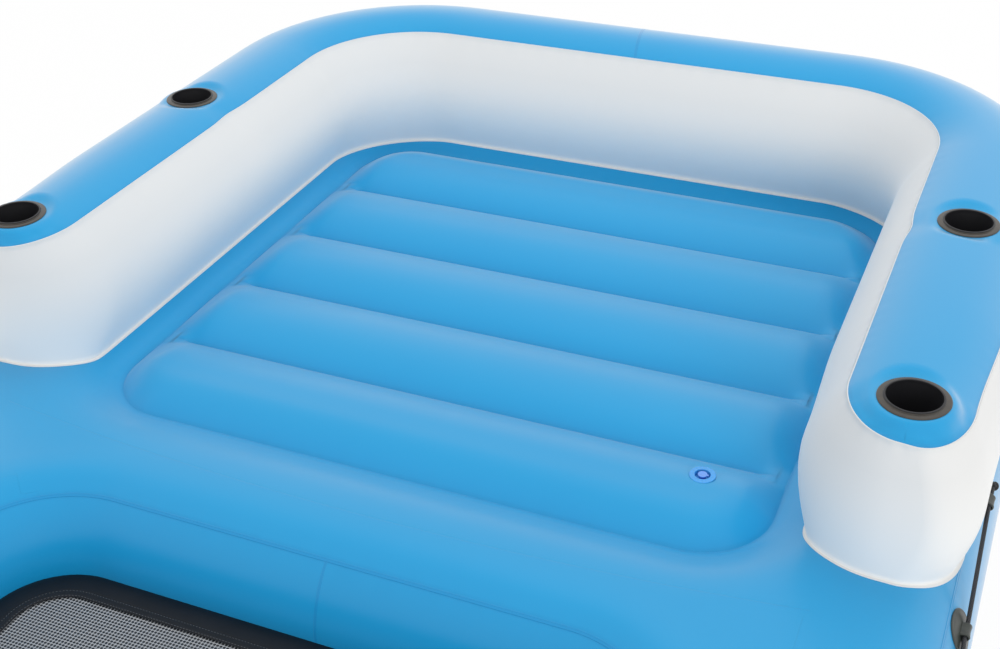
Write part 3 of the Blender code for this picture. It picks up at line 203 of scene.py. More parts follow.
def base_top_height(x, y):
    """Height of the ring's crowned upper sheet."""
    outer = shoulder_height(-BASE_OUTLINE.distance(x, y))
    well = shoulder_height(WELL_OUTLINE.distance(x, y))
    rise = min(max(FLOOR_OUTLINE.distance(x, y) / FLOOR_RISE, 0.0), 1.0)
    floor = mix(VALLEY_HEIGHT, BASE_HEIGHT, math.sin(rise * math.pi / 2.0))
    return smooth_minimum(smooth_minimum(outer, well, CREST_BLEND), floor, CREST_BLEND)


def base_bottom_height(x, y):
    """Height of the ring's lower sheet."""
    outer = BASE_HEIGHT - shoulder_height(-BASE_OUTLINE.distance(x, y))
    well = BASE_HEIGHT - shoulder_height(WELL_OUTLINE.distance(x, y))
    rise = min(max(FLOOR_OUTLINE.distance(x, y) / UNDER_RISE, 0.0), 1.0)
    return max(outer, well, UNDER_VALLEY * (1.0 - math.sin(rise * math.pi / 2.0)))


def beam_swell(x, y):
    """Share of the full crown over the floor: beams between the seams, drawn down at the border."""
    inward = max(-FLOOR_OUTLINE.distance(x, y), 0.0)
    edge = math.sin(min(inward / FLOOR_EDGE, 1.0) * math.pi / 2.0)
    arch = 1.0
    for seam in range(1, BEAMS):
        reach = abs(y - FLOOR_BACK + seam * BEAM_DEPTH) / (BEAM_DEPTH / 2.0)
        arch = min(arch, 1.0 - max(1.0 - reach, 0.0) ** BEAM_POWER)
    fade = smooth_step(SEAM_HALF_LENGTH - SEAM_FADE, SEAM_HALF_LENGTH, abs(x))
    return edge * mix(arch, max(arch, END_SWELL), fade)


def floor_top_height(x, y):
    """Height of the floor's ribbed upper sheet."""
    return VALLEY_HEIGHT + BEAM_CROWN * beam_swell(x, y)


def floor_bottom_height(x, y):
    """Height of the floor's ribbed lower sheet."""
    return UNDER_VALLEY - UNDER_CROWN * beam_swell(x, y)


def tip_share(step, steps):
    """How far into an arm's tip a station lies: 1 at its front, 0 from where the arm runs straight."""
    return math.sin(math.pi / 2.0 * (1.0 - min(step / steps, 1.0)))


def backrest_line(share, arm_steps=40, tip_steps=18, corner_steps=22, back_steps=16):
    """Inner and outer points of one level of the backrest's U, from the right tip round to the left tip."""
    swell = math.sin(math.pi * share)
    inner = [mix(FOOT_INNER[axis], PANEL_INNER[axis], share) - 0.072 * swell for axis in (0, 1)]
    outer = [mix(FOOT_OUTER[axis], PANEL_OUTER[axis], share) + (0.040, 0.030)[axis] * swell for axis in (0, 1)]
    front = mix(FOOT_FRONT, PANEL_FRONT, share) - 0.024 * swell
    inner_width, inner_length = mix(0.170, 0.122, share) + 0.072 * swell, mix(0.125, 0.160, share) + 0.072 * swell
    outer_width, outer_length = mix(0.116, 0.095, share), mix(0.220, PANEL_TIP_LENGTH, share)
    inner_draw, outer_draw = 0.012 * swell, 0.017 * share
    halves = ([], [])
    for step in range(tip_steps):
        lift = 1.0 - tip_share(step, tip_steps)
        pull = 1.0 - math.sqrt(1.0 - (1.0 - lift) ** 2)
        halves[0].append((inner[0] + inner_draw + (inner_width - inner_draw) * pull, front + inner_length * lift))
        halves[1].append((outer[0] - outer_draw - outer_width * pull, front + outer_length * lift))
    for step in range(arm_steps + 1):
        arm = step / arm_steps
        left = 1.0 - smooth_step(0.0, 0.30, arm)
        y = mix(front + inner_length, CORNER[1], arm)
        halves[0].append((inner[0] + inner_draw * left + cup_pinch(y) * smooth_step(0.5, 1.0, share), y))
        halves[1].append((outer[0] - outer_draw * left, mix(front + outer_length, CORNER[1], arm)))
    for step in range(1, corner_steps + 1):
        angle = math.pi / 2.0 * step / corner_steps
        for half, reach in zip(halves, (inner, outer)):
            half.append(
                (
                    CORNER[0] + (reach[0] - CORNER[0]) * math.cos(angle),
                    CORNER[1] + (reach[1] - CORNER[1]) * math.sin(angle),
                )
            )
    for step in range(1, back_steps + 1):
        for half, reach in zip(halves, (inner, outer)):
            half.append((CORNER[0] * (1.0 - step / back_steps), reach[1]))
    return [half + [(-x, y) for x, y in reversed(half[:-1])] for half in halves]


def cup_pinch(y):
    """How far the rear cup holder draws the panel's inner seam outward."""
    return 0.007 * math.exp(-(((y - 0.655) / 0.050) ** 2))


def seam_height(x, y, across_share):
    """Height of the panel's seam plane, which leans outward."""
    if y < CORNER[1]:
        across_share = (abs(x) - PANEL_INNER[0]) / (PANEL_OUTER[0] - PANEL_INNER[0])
    return mix(SEAM_INNER_HEIGHT, SEAM_OUTER_HEIGHT, across_share)


def panel_across(across_share, into_tip):
    """Distance from the panel's middle line as a share: 0 there, 1 at the seam."""
    return min(math.hypot((2.0 * across_share - 1.0) * math.sqrt(1.0 - into_tip ** 2), into_tip), 1.0)


def panel_height(x, y, across_share, into_tip):
    """Height of the blue panel: crowned across, domed at the tips, flat round each cup holder."""
    crown = PANEL_CROWN * (1.0 - panel_across(across_share, into_tip) ** 2.2)
    height = seam_height(x, y, across_share) + crown
    for cup_y in CUP_YS:
        reach = math.hypot(abs(x) - CUP_X, y - cup_y)
        height = mix(height, CUP_PLANE, 1.0 - smooth_step(0.0735, 0.100, reach))
    return height


# Materials


def add_node(tree, kind, settings=None, inputs=None):
    """Node of a type with its settings, then the values or links of its sockets."""
    node = tree.nodes.new(kind)
    for name, value in (settings or {}).items():
        if name == "stops":
            ramp = node.color_ramp.elements
            while len(ramp) < len(value):
                ramp.new(0.5)
            for element, (place, colour) in zip(ramp, value):
                element.position = place
                element.color = (*colour, 1.0)
        else:
            setattr(node, name, value)
    for name, value in (inputs or {}).items():
        connect(tree, node.inputs[name], value)
    return node


def connect(tree, socket, value):
    """Link or plain value into a socket."""
    if isinstance(value, Line):
        value = value.socket
    if isinstance(value, bpy.types.NodeSocket):
        tree.links.new(value, socket)
    elif hasattr(value, "__len__") and len(value) == 3 and len(socket.default_value) == 4:
        socket.default_value = (*value, 1.0)
    else:
        socket.default_value = value


class Line:
    """Number that varies over a surface; sums and products of it add Math nodes."""

    def __init__(self, tree, socket):
        self.tree = tree
        self.socket = socket

    def math(self, operation, *others):
        """Result of a Math node on this number and others."""
        node = self.tree.nodes.new("ShaderNodeMath")
        node.operation = operation
        for place, value in enumerate((self, *others)):
            connect(self.tree, node.inputs[place], value)
        return Line(self.tree, node.outputs[0])

    def backwards(self, operation, other):
        """Result of a Math node with a plain number first."""
        node = self.tree.nodes.new("ShaderNodeMath")
        node.operation = operation
        node.inputs[0].default_value = other
        connect(self.tree, node.inputs[1], self)
        return Line(self.tree, node.outputs[0])

    def __add__(self, other):
        return self.math("ADD", other)

    def __radd__(self, other):
        return self.backwards("ADD", other)

    def __sub__(self, other):
        return self.math("SUBTRACT", other)

    def __rsub__(self, other):
        return self.backwards("SUBTRACT", other)

    def __mul__(self, other):
        return self.math("MULTIPLY", other)

    def __rmul__(self, other):
        return self.backwards("MULTIPLY", other)

    def __truediv__(self, other):
        return self.math("DIVIDE", other)

    def __pow__(self, other):
        return self.math("POWER", other)

    def __abs__(self):
        return self.math("ABSOLUTE")

    def sine(self):
        """Sine of the number, in radians."""
        return self.math("SINE")

    def within(self, width):
        """Mask that is 1 at zero and falls to 0 at a width on both sides."""
        return (1.0 - abs(self) / width).math("MAXIMUM", 0.0)


class Finish:
    """Material under construction: a Principled shader and the nodes in front of it."""

    def __init__(self, name, colour, roughness, **fixed):
        self.material = bpy.data.materials.new(name)
        self.material.use_nodes = True
        self.tree = self.material.node_tree
        self.shader = self.tree.nodes["Principled BSDF"]
        self.set("Base Color", colour)
        self.set("Roughness", roughness)
        for socket, value in fixed.items():
            self.set(socket.replace("_", " "), value)
        self.material.diffuse_color = (*colour[:3], 1.0)

    def set(self, socket, value):
        """Value or link on one of the shader's sockets."""
        connect(self.tree, self.shader.inputs[socket], value)

    def node(self, kind, settings=None, **inputs):
        """Any other node."""
        named = {name.replace("_", " "): value for name, value in inputs.items()}
        return add_node(self.tree, kind, settings, named)

    def place(self):
        """Position on the object, in metres."""
        return self.node("ShaderNodeTexCoord").outputs["Object"]

    def measure(self, name):
        """Length that the mesh carries under a name."""
        found = self.node("ShaderNodeAttribute", {"attribute_name": name, "attribute_type": "GEOMETRY"})
        return Line(self.tree, found.outputs["Fac"])

    def noise(self, scale, detail=3.0, vector=None, stretch=None):
        """Soft noise from 0 to 1 at a number of blots per metre."""
        vector = vector or self.place()
        if stretch:
            mapped = self.node("ShaderNodeMapping", None, Vector=vector, Scale=stretch)
            vector = mapped.outputs[0]
        made = self.node("ShaderNodeTexNoise", None, Vector=vector, Scale=scale, Detail=detail)
        return Line(self.tree, made.outputs["Fac"])

    def blend(self, share, first, second):
        """Colour between two others."""
        made = self.node("ShaderNodeMix", {"data_type": "RGBA"})
        connect(self.tree, made.inputs["Factor"], share)
        connect(self.tree, made.inputs[6], first)
        connect(self.tree, made.inputs[7], second)
        return made.outputs[2]

    def relief(self, height, distance=0.001, strength=1.0):
        """Height in units of distance, into the shader's normal."""
        made = self.node("ShaderNodeBump", None, Height=height, Distance=distance, Strength=strength)
        self.set("Normal", made.outputs[0])


def film_finish(name, colour, deep, roughness, coat, low=None, seam=None):
    """Inflated vinyl film: faint orange peel, cloudy colour with painted shade towards the welds, painted light low on
    white walls and painted shade along the weld lines, puckers and a shine that vary near the welds.
    """
    made = Finish(
        name, colour, roughness, Coat_Weight=coat, Coat_Roughness=0.28, Coat_IOR=1.38, IOR=1.5,
        Specular_IOR_Level=0.12, Sheen_Weight=0.32, Sheen_Roughness=0.38,
    )
    run, reach, web = made.measure("run"), made.measure("reach"), made.measure("web")
    cloud = made.noise(2.2, 3.0)
    near_weld = reach.within(0.05)
    # Darker tone: random cloud, plus painted shade that grows within 5 cm of the welds.
    shade = made.blend((cloud - 0.5) * 0.5 + near_weld * 0.10 + 0.25, colour, deep)
    # Painted light: the white film turns paler from 0.66 m down to 0.40 m, except within about 18 mm of the welds.
    if low:
        height = Line(made.tree, made.node("ShaderNodeSeparateXYZ", None, Vector=made.place()).outputs["Z"])
        low_painted_light = ((height - 0.66) / -0.26).math("MAXIMUM", 0.0).math("MINIMUM", 1.0)
        low_painted_light = low_painted_light * ((reach - 0.006) / 0.012).math("MAXIMUM", 0.0).math("MINIMUM", 1.0)
        shade = made.blend(low_painted_light, shade, low)
    # Painted shade: a darker blue laid within 10 mm of the weld lines, where the grooves fall in shade.
    if seam:
        shade = made.blend(reach.within(0.010) * 0.45, shade, seam)
    made.set("Base Color", shade)
    scuff = made.noise(38.0, 4.0)
    made.set("Roughness", roughness + (scuff - 0.5) * 0.10 + near_weld * 0.04)
    peel = made.noise(420.0, 2.0) - 0.5
    slow = made.noise(9.0, 2.0)
    pucker = (run * 118.0 + slow * 9.0).sine() + (run * 67.0 + 1.3).sine()
    pucker = pucker * (near_weld ** 2.0)
    groove = web.within(0.0035) * -1.0
    made.relief(peel * 0.035 + pucker * made.measure("gather") * 0.9 + groove * 0.8, 0.001)
    return made.material


class IslandColours(PropertyGroup):
    """Colours of the island's finishes."""

    sky: FloatVectorProperty(
        name="Sky film", description="Colour of the blue film", subtype="COLOR", size=3, default=(0.008, 0.335, 0.665)
    )
    # Darker blue blended in at random and, as painted shade, towards the welds.
    sky_cloud_and_weld_shade: FloatVectorProperty(
        name="Sky film, deep", description="Blue film where it is stretched", subtype="COLOR", size=3,
        default=(0.005, 0.295, 0.625),
    )
    white: FloatVectorProperty(
        name="White film", description="Colour of the backrest's walls", subtype="COLOR", size=3,
        default=(0.765, 0.765, 0.755),
    )
    # Darker white blended in at random and, as painted shade, towards the welds.
    white_cloud_and_weld_shade: FloatVectorProperty(
        name="White film, deep", description="White film where it is stretched", subtype="COLOR", size=3,
        default=(0.745, 0.750, 0.745),
    )
    # Paler white blended in low on the backrest walls as painted light.
    white_low_painted_light: FloatVectorProperty(
        name="White film, low", description="White film where it is thickest, above the foot", subtype="COLOR", size=3,
        default=(0.950, 0.945, 0.920),
    )
    net: FloatVectorProperty(
        name="Net", description="Colour of the net's yarn", subtype="COLOR", size=3, default=(0.340, 0.355, 0.375)
    )
    patch: FloatVectorProperty(
        name="Patch", description="Colour of the rope patches", subtype="COLOR", size=3, default=(0.026, 0.032, 0.028)
    )
    ring: FloatVectorProperty(
        name="Cup ring", description="Colour of the cup holders' rings", subtype="COLOR", size=3,
        default=(0.040, 0.035, 0.029),
    )
    valve: FloatVectorProperty(
        name="Floor valve", description="Colour of the floor's clear valve", subtype="COLOR", size=3,
        default=(0.100, 0.260, 0.700),
    )


class IslandSizes(PropertyGroup):
    """Sizes of the island's fine detail."""

    mesh_size: FloatProperty(
        name="Mesh size", description="Spacing of the base film's points", default=0.028, min=0.01, unit="LENGTH"
    )
    weld_width: FloatProperty(
        name="Weld width", description="Width of the weld bands on the base", default=0.009, min=0.002, unit="LENGTH"
    )
    weld_height: FloatProperty(
        name="Weld height", description="Height of a weld band's edges", default=0.0007, min=0.0, unit="LENGTH"
    )
    lip_width: FloatProperty(
        name="Foot lip width", description="Width of the backrest's folded foot", default=0.0065, min=0.002,
        unit="LENGTH",
    )
    net_pitch: FloatProperty(
        name="Net pitch", description="Distance between the net's holes", default=0.0080, min=0.002, unit="LENGTH"
    )
    stitch_pitch: FloatProperty(
        name="Stitch pitch", description="Distance between the tape's stitches", default=0.0075, min=0.002,
        unit="LENGTH",
    )
    rope_diameter: FloatProperty(
        name="Rope diameter", description="Diameter of the grab rope", default=0.009, min=0.002, unit="LENGTH"
    )
    turned_steps: IntProperty(
        name="Round steps", description="Facets round a turned fitting", default=72, min=12
    )


class IslandLight(PropertyGroup):
    """Studio light."""

    sky_level: FloatProperty(name="Sky", description="Level of the even studio light", default=0.83, min=0.0)
    key_power: FloatProperty(
        name="Key light", description="Power of the large light above the back", default=80.0, min=0.0, unit="POWER"
    )
    fill_power: FloatProperty(
        name="Fill light", description="Power of the light from the front", default=350.0, min=0.0, unit="POWER"
    )


# Mesh building


def new_piece(name, points, faces, finish, stands_for=(), measures=None, normals=None):
    """Smooth mesh on the island's body that stands for CAD nodes or takes a slot; measures are kept per point."""
    mesh = bpy.data.meshes.new(name)
    mesh.from_pydata([tuple(point) for point in points], [], faces)
    mesh.update()
    for key, values in (measures or {}).items():
        layer = mesh.attributes.new(key, "FLOAT", "POINT")
        layer.data.foreach_set("value", values)
    mesh.materials.append(finish)
    mesh.shade_smooth()
    if normals:
        mesh.normals_split_custom_set_from_vertices(normals)
    made = bpy.data.objects.new(name, mesh)
    bpy.context.scene.collection.objects.link(made)
    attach(made, BODY)
    if stands_for:
        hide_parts(*stands_for)
    return made


def grid_faces(rows, count, closed=False, flip=False, skip=()):
    """Quads between rows of as many points."""
    faces = []
    for row in range(rows - 1):
        for step in range(count if closed else count - 1):
            following = (step + 1) % count
            face = (row * count + step, row * count + following, (row + 1) * count + following, (row + 1) * count + step)
            if not skip or not any(corner in skip for corner in face):
                faces.append(tuple(reversed(face)) if flip else face)
    return faces


def height_normal(height, x, y, up=1.0, step=0.0015):
    """Normal of a sheet given by its height."""
    slope_x = (height(x + step, y) - height(x - step, y)) / (2.0 * step)
    slope_y = (height(x, y + step) - height(x, y - step)) / (2.0 * step)
    return (Vector((-slope_x, -slope_y, 1.0)) * up).normalized()


def web_line(x, y):
    """Signed distance to the line where the crossbeam's inner web is welded."""
    if abs(x) > 0.98 or not -0.60 < y < -0.24:
        return 1.0
    return y + 0.415 - 0.07 * x * x


def ring_sheet(name, finish, height, stands_for, facing_up, size):
    """Upper or lower sheet of the base ring, dense near its welds."""
    loops = []
    steps = 7
    for row in range(steps + 1):
        share = row / steps
        outer = SHOULDER_REACH * (1.0 - math.sin(SEAM_ANGLE * (1.0 - share)))
        well = SHOULDER_REACH * (1.0 - math.sin(WELL_SEAM_ANGLE * (1.0 - share)))
        loops.append(BASE_OUTLINE.loop(-outer, size))
        loops.append(WELL_OUTLINE.loop(well, size, 12))
    for row in range(steps + 1):
        loops.append(FLOOR_OUTLINE.loop(FLOOR_RISE * row / steps, size, 12))
    points, edges = [], []
    for loop in loops:
        first = len(points)
        points.extend(Vector(point) for point in loop)
        edges.extend((first + step, first + (step + 1) % len(loop)) for step in range(len(loop)))
    if facing_up:
        for side in (-0.006, 0.0, 0.006):
            first = len(points)
            for step in range(-48, 49):
                x = step * 0.02
                points.append(Vector((x, -0.415 + 0.07 * x * x + side)))
            edges.extend((index, index + 1) for index in range(first, len(points) - 1))
    columns = int(BASE_HALF_WIDTH / size)
    for column in range(-columns, columns + 1):
        for row in range(int((BASE_BACK - BASE_FRONT) / size)):
            x, y = column * size, BASE_FRONT + (row + 0.5 * (column % 2)) * size
            clear = min(-BASE_OUTLINE.distance(x, y), WELL_OUTLINE.distance(x, y), FLOOR_OUTLINE.distance(x, y))
            if clear > SHOULDER_REACH + size / 2.0:
                points.append(Vector((x, y)))
    flat, _, triangles = delaunay_2d_cdt(points, edges, [], 0, 0.00002)[:3]
    kept = []
    for triangle in triangles:
        centre = sum((flat[index] for index in triangle), Vector((0.0, 0.0))) / len(triangle)
        if (
            BASE_OUTLINE.distance(*centre) < -OUTER_SEAM_INSET
            and WELL_OUTLINE.distance(*centre) > WELL_SEAM_INSET
            and FLOOR_OUTLINE.distance(*centre) > 0.0
        ):
            kept.append(tuple(triangle) if facing_up else tuple(reversed(triangle)))
    used = sorted({index for triangle in kept for index in triangle})
    numbers = {index: place for place, index in enumerate(used)}
    lifted, normals = [], []
    measures = {"run": [], "reach": [], "web": [], "gather": []}
    for index in used:
        x, y = flat[index]
        lifted.append((x, y, height(x, y)))
        normals.append(height_normal(height, x, y, 1.0 if facing_up else -1.0))
        seams = [
            (-BASE_OUTLINE.distance(x, y) - OUTER_SEAM_INSET, BASE_OUTLINE, 0.35),
            (WELL_OUTLINE.distance(x, y) - WELL_SEAM_INSET, WELL_OUTLINE, 0.45),
            (FLOOR_OUTLINE.distance(x, y), FLOOR_OUTLINE, 0.30),
        ]
        reach, outline, gather = min(seams, key=lambda seam: seam[0])
        measures["run"].append(outline.run(x, y))
        measures["reach"].append(max(reach, 0.0))
        measures["web"].append(web_line(x, y) if facing_up else 1.0)
        measures["gather"].append(gather)
    faces = [tuple(numbers[index] for index in triangle) for triangle in kept]
    return new_piece(name, lifted, faces, finish, stands_for, measures, normals)


def lofted_piece(name, rows, finish, closed, flip, stands_for, gather=0.4, hole=()):
    """Sheet through rows of points between two welds."""
    run = []
    line = rows[len(rows) // 2]
    walked = 0.0
    for step, point in enumerate(line):
        if step:
            walked += (Vector(point) - Vector(line[step - 1])).length
        run.append(walked)
    measures = {"run": run * len(rows), "reach": [], "web": [], "gather": []}
    heights = [0.0]
    for row in range(1, len(rows)):
        heights.append(heights[-1] + (Vector(rows[row][0]) - Vector(rows[row - 1][0])).length)
    for row in range(len(rows)):
        reach = min(heights[row], heights[-1] - heights[row])
        measures["reach"].extend([reach] * len(line))
        measures["web"].extend([1.0] * len(line))
        measures["gather"].extend([gather] * len(line))
    points = [point for line in rows for point in line]
    faces = grid_faces(len(rows), len(rows[0]), closed, flip, hole)
    return new_piece(name, points, faces, finish, stands_for, measures)


def ribbon(name, path, normals, width, height, finish, closed=True, stands_for=()):
    """Flat weld band along a path, with slightly raised edges."""
    profile = [(-0.5, -0.4), (-0.42, 0.7), (-0.30, 1.0), (-0.16, 0.45), (0.16, 0.45), (0.30, 1.0), (0.42, 0.7), (0.5, -0.4)]
    points = []
    count = len(path)
    for index, (place, normal) in enumerate(zip(path, normals)):
        ahead = path[(index + 1) % count] if closed or index < count - 1 else place
        behind = path[index - 1] if closed or index else place
        along = (Vector(ahead) - Vector(behind)).normalized()
        across = along.cross(normal).normalized()
        points.extend(Vector(place) + across * (share * width) + normal * (lift * height) for share, lift in profile)
    size = len(profile)
    faces = []
    for index in range(count if closed else count - 1):
        following = (index + 1) % count
        for step in range(size - 1):
            faces.append(
                (index * size + step, following * size + step, following * size + step + 1, index * size + step + 1)
            )
    return new_piece(name, points, faces, finish, stands_for)


def turned(profile, steps, centre=(0.0, 0.0), notch=None):
    """Points and faces of a closed profile of radius and height turned about z."""
    points, faces = [], []
    count = len(profile)
    for step in range(steps):
        angle = 2.0 * math.pi * step / steps
        for radius, height in profile:
            if notch and radius > notch[0]:
                radius -= notch[1] * (0.5 - 0.5 * math.cos(angle * notch[2])) ** 2
            points.append((centre[0] + radius * math.cos(angle), centre[1] + radius * math.sin(angle), height))
    for step in range(steps):
        following = (step + 1) % steps
        for row in range(count):
            above = (row + 1) % count
            if profile[row][0] == 0.0 and profile[above][0] == 0.0:
                continue
            faces.append((step * count + row, following * count + row, following * count + above, step * count + above))
    return points, faces


def rounded(profile, radius, steps=3):
    """Closed profile with its corners rounded."""
    made = []
    count = len(profile)
    for index, corner in enumerate(profile):
        before, after = Vector(profile[index - 1]), Vector(profile[(index + 1) % count])
        corner = Vector(corner)
        if corner.x == 0.0:
            made.append(tuple(corner))
            continue
        reach = min(radius, (before - corner).length / 2.2, (after - corner).length / 2.2)
        start = corner + (before - corner).normalized() * reach
        end = corner + (after - corner).normalized() * reach
        for step in range(steps + 1):
            share = step / steps
            made.append(tuple(start.lerp(corner, share).lerp(corner.lerp(end, share), share)))
    return made


def solid_piece(name, shapes, finish, body, stands_for, place=None):
    """One piece from several closed shapes, with its normals made to face out."""
    surface = bmesh.new()
    for points, faces in shapes:
        made = [surface.verts.new(point) for point in points]
        for face in faces:
            corners = [made[index] for index in dict.fromkeys(face)]
            if len(corners) > 2:
                surface.faces.new(corners)
    bmesh.ops.remove_doubles(surface, verts=surface.verts[:], dist=0.00001)
    bmesh.ops.recalc_face_normals(surface, faces=surface.faces[:])
    if place:
        bmesh.ops.transform(surface, matrix=place, verts=surface.verts[:])
    mesh = bpy.data.meshes.new(name)
    surface.to_mesh(mesh)
    surface.free()
    mesh.materials.append(finish)
    mesh.shade_smooth()
    mesh.set_sharp_from_angle(angle=math.radians(50))
    made = bpy.data.objects.new(name, mesh)
    bpy.context.scene.collection.objects.link(made)
    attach(made, body)
    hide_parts(*stands_for)
    return made


def box_shape(low, high, rounding=0.0):
    """Box between two corners, its ends drawn in by the rounding."""
    low, high = Vector(low), Vector(high)
    points = []
    for z in (0.0, 0.25, 0.75, 1.0):
        inset = rounding if z in (0.0, 1.0) else 0.0
        for x, y in ((0, 0), (1, 0), (1, 1), (0, 1)):
            points.append(
                (
                    mix(low.x, high.x, x) + inset * (1 - 2 * x),
                    mix(low.y, high.y, y) + inset * (1 - 2 * y),
                    mix(low.z, high.z, z),
                )
            )
    faces = [(3, 2, 1, 0), (12, 13, 14, 15)]
    for row in range(3):
        for step in range(4):
            following = (step + 1) % 4
            faces.append((row * 4 + step, row * 4 + following, row * 4 + 4 + following, row * 4 + 4 + step))
    return points, faces


def settings():
    """The scene's island settings."""
    scene = bpy.context.scene
    return scene.island_sizes, scene.island_colours, scene.island_light


def finish_of(name, make):
    """A finish by name, made once."""
    return bpy.data.materials.get(name) or make()


def sky_film():
    colours = settings()[1]
    # The seam colour is painted shade along the blue film's weld lines.
    return finish_of("sky_film", lambda: film_finish("sky_film", colours.sky, colours.sky_cloud_and_weld_shade, 0.34, 1.0, seam=(0.002, 0.235, 0.540)))


def white_film():
    colours = settings()[1]
    return finish_of(
        "white_film",
        lambda: film_finish("white_film", colours.white, colours.white_cloud_and_weld_shade, 0.40, 0.10, colours.white_low_painted_light),
    )


# Operators


class ISLAND_OT_stage(Operator):
    """White floor and backdrop, soft studio light, and the camera."""

    bl_idname = "island.stage"
    bl_label = "Stage"

    def execute(self, context):
        light = settings()[2]
        scene = context.scene
        scene.view_settings.view_transform = "Standard"
        world = bpy.data.worlds.new("studio")
        scene.world = world
        world.use_nodes = True
        tree = world.node_tree
        background = tree.nodes["Background"]
        seen = add_node(tree, "ShaderNodeLightPath").outputs
        direct = Line(tree, seen["Is Camera Ray"]).math("MAXIMUM", seen["Is Glossy Ray"])
        direct = direct.math("MAXIMUM", seen["Is Transmission Ray"])
        background.inputs["Color"].default_value = (1.0, 1.0, 1.0, 1.0)
        connect(tree, background.inputs["Strength"], direct * (1.0 - light.sky_level) + light.sky_level)

        points = [(-30.0, -30.0, -0.001), (30.0, -30.0, -0.001), (30.0, 30.0, -0.001), (-30.0, 30.0, -0.001)]
        mesh = bpy.data.meshes.new("studio_floor")
        mesh.from_pydata(points, [], [(0, 1, 2, 3)])
        floor = bpy.data.objects.new("studio_floor", mesh)
        scene.collection.objects.link(floor)
        mesh.materials.append(self.floor_finish())

        for name, power, size, place, target in (
            ("key_light", light.key_power, 5.0, (0.3, 2.4, 5.4), (0.0, 0.3, 0.4)),
            ("fill_light", light.fill_power, 6.0, (7.5, -9.0, 4.6), (-0.4, 0.9, 0.5)),
        ):
            lamp = bpy.data.lights.new(name, "AREA")
            lamp.shape = "DISK"
            lamp.size = size
            lamp.energy = power
            made = bpy.data.objects.new(name, lamp)
            made.location = place
            made.visible_glossy = False
            made.rotation_euler = (Vector(target) - Vector(place)).to_track_quat("-Z", "Y").to_euler()
            scene.collection.objects.link(made)

        yaw, pitch, roll = 0.4181, 0.5598, -0.0268
        ahead = Vector((-math.sin(yaw) * math.cos(pitch), math.cos(yaw) * math.cos(pitch), -math.sin(pitch)))
        side = Vector((math.cos(yaw), math.sin(yaw), 0.0))
        up = side.cross(ahead)
        right = math.cos(roll) * side + math.sin(roll) * up
        top = -math.sin(roll) * side + math.cos(roll) * up
        lens = bpy.data.cameras.new("camera")
        lens.sensor_width = 36.0
        lens.lens = 51.05
        lens.clip_end = 100.0
        camera = bpy.data.objects.new("camera", lens)
        camera.matrix_world = Matrix.Translation((1.2458, -2.4222, 2.3373)) @ Matrix((right, top, -ahead)).transposed().to_4x4()
        scene.collection.objects.link(camera)
        scene.camera = camera
        return {"FINISHED"}

    def floor_finish(self):
        """Matt white that keeps a soft shadow and reads as white to the camera."""
        made = Finish("studio_white", (0.93, 0.93, 0.93), 0.9)
        tree = made.tree
        place = made.node("ShaderNodeSeparateXYZ", None, Vector=made.place()).outputs
        beside = (abs(Line(tree, place["X"])) / BASE_HALF_WIDTH).math("MAXIMUM", abs(Line(tree, place["Y"])) / BASE_BACK)
        clear = ((beside - 0.92) / 0.08).math("MAXIMUM", 0.0).math("MINIMUM", 1.0)
        seen = add_node(tree, "ShaderNodeLightPath").outputs
        direct = Line(tree, seen["Is Camera Ray"]).math("MAXIMUM", seen["Is Glossy Ray"])
        direct = direct.math("MAXIMUM", seen["Is Transmission Ray"])
        glow = made.node("ShaderNodeEmission", None, Color=(1.0, 1.0, 1.0), Strength=1.0)
        mixed = made.node("ShaderNodeMixShader")
        connect(tree, mixed.inputs[0], direct * clear * 0.96)
        connect(tree, mixed.inputs[1], made.shader.outputs[0])
        connect(tree, mixed.inputs[2], glow.outputs[0])
        tree.links.new(mixed.outputs[0], tree.nodes["Material Output"].inputs["Surface"])
        return made.material


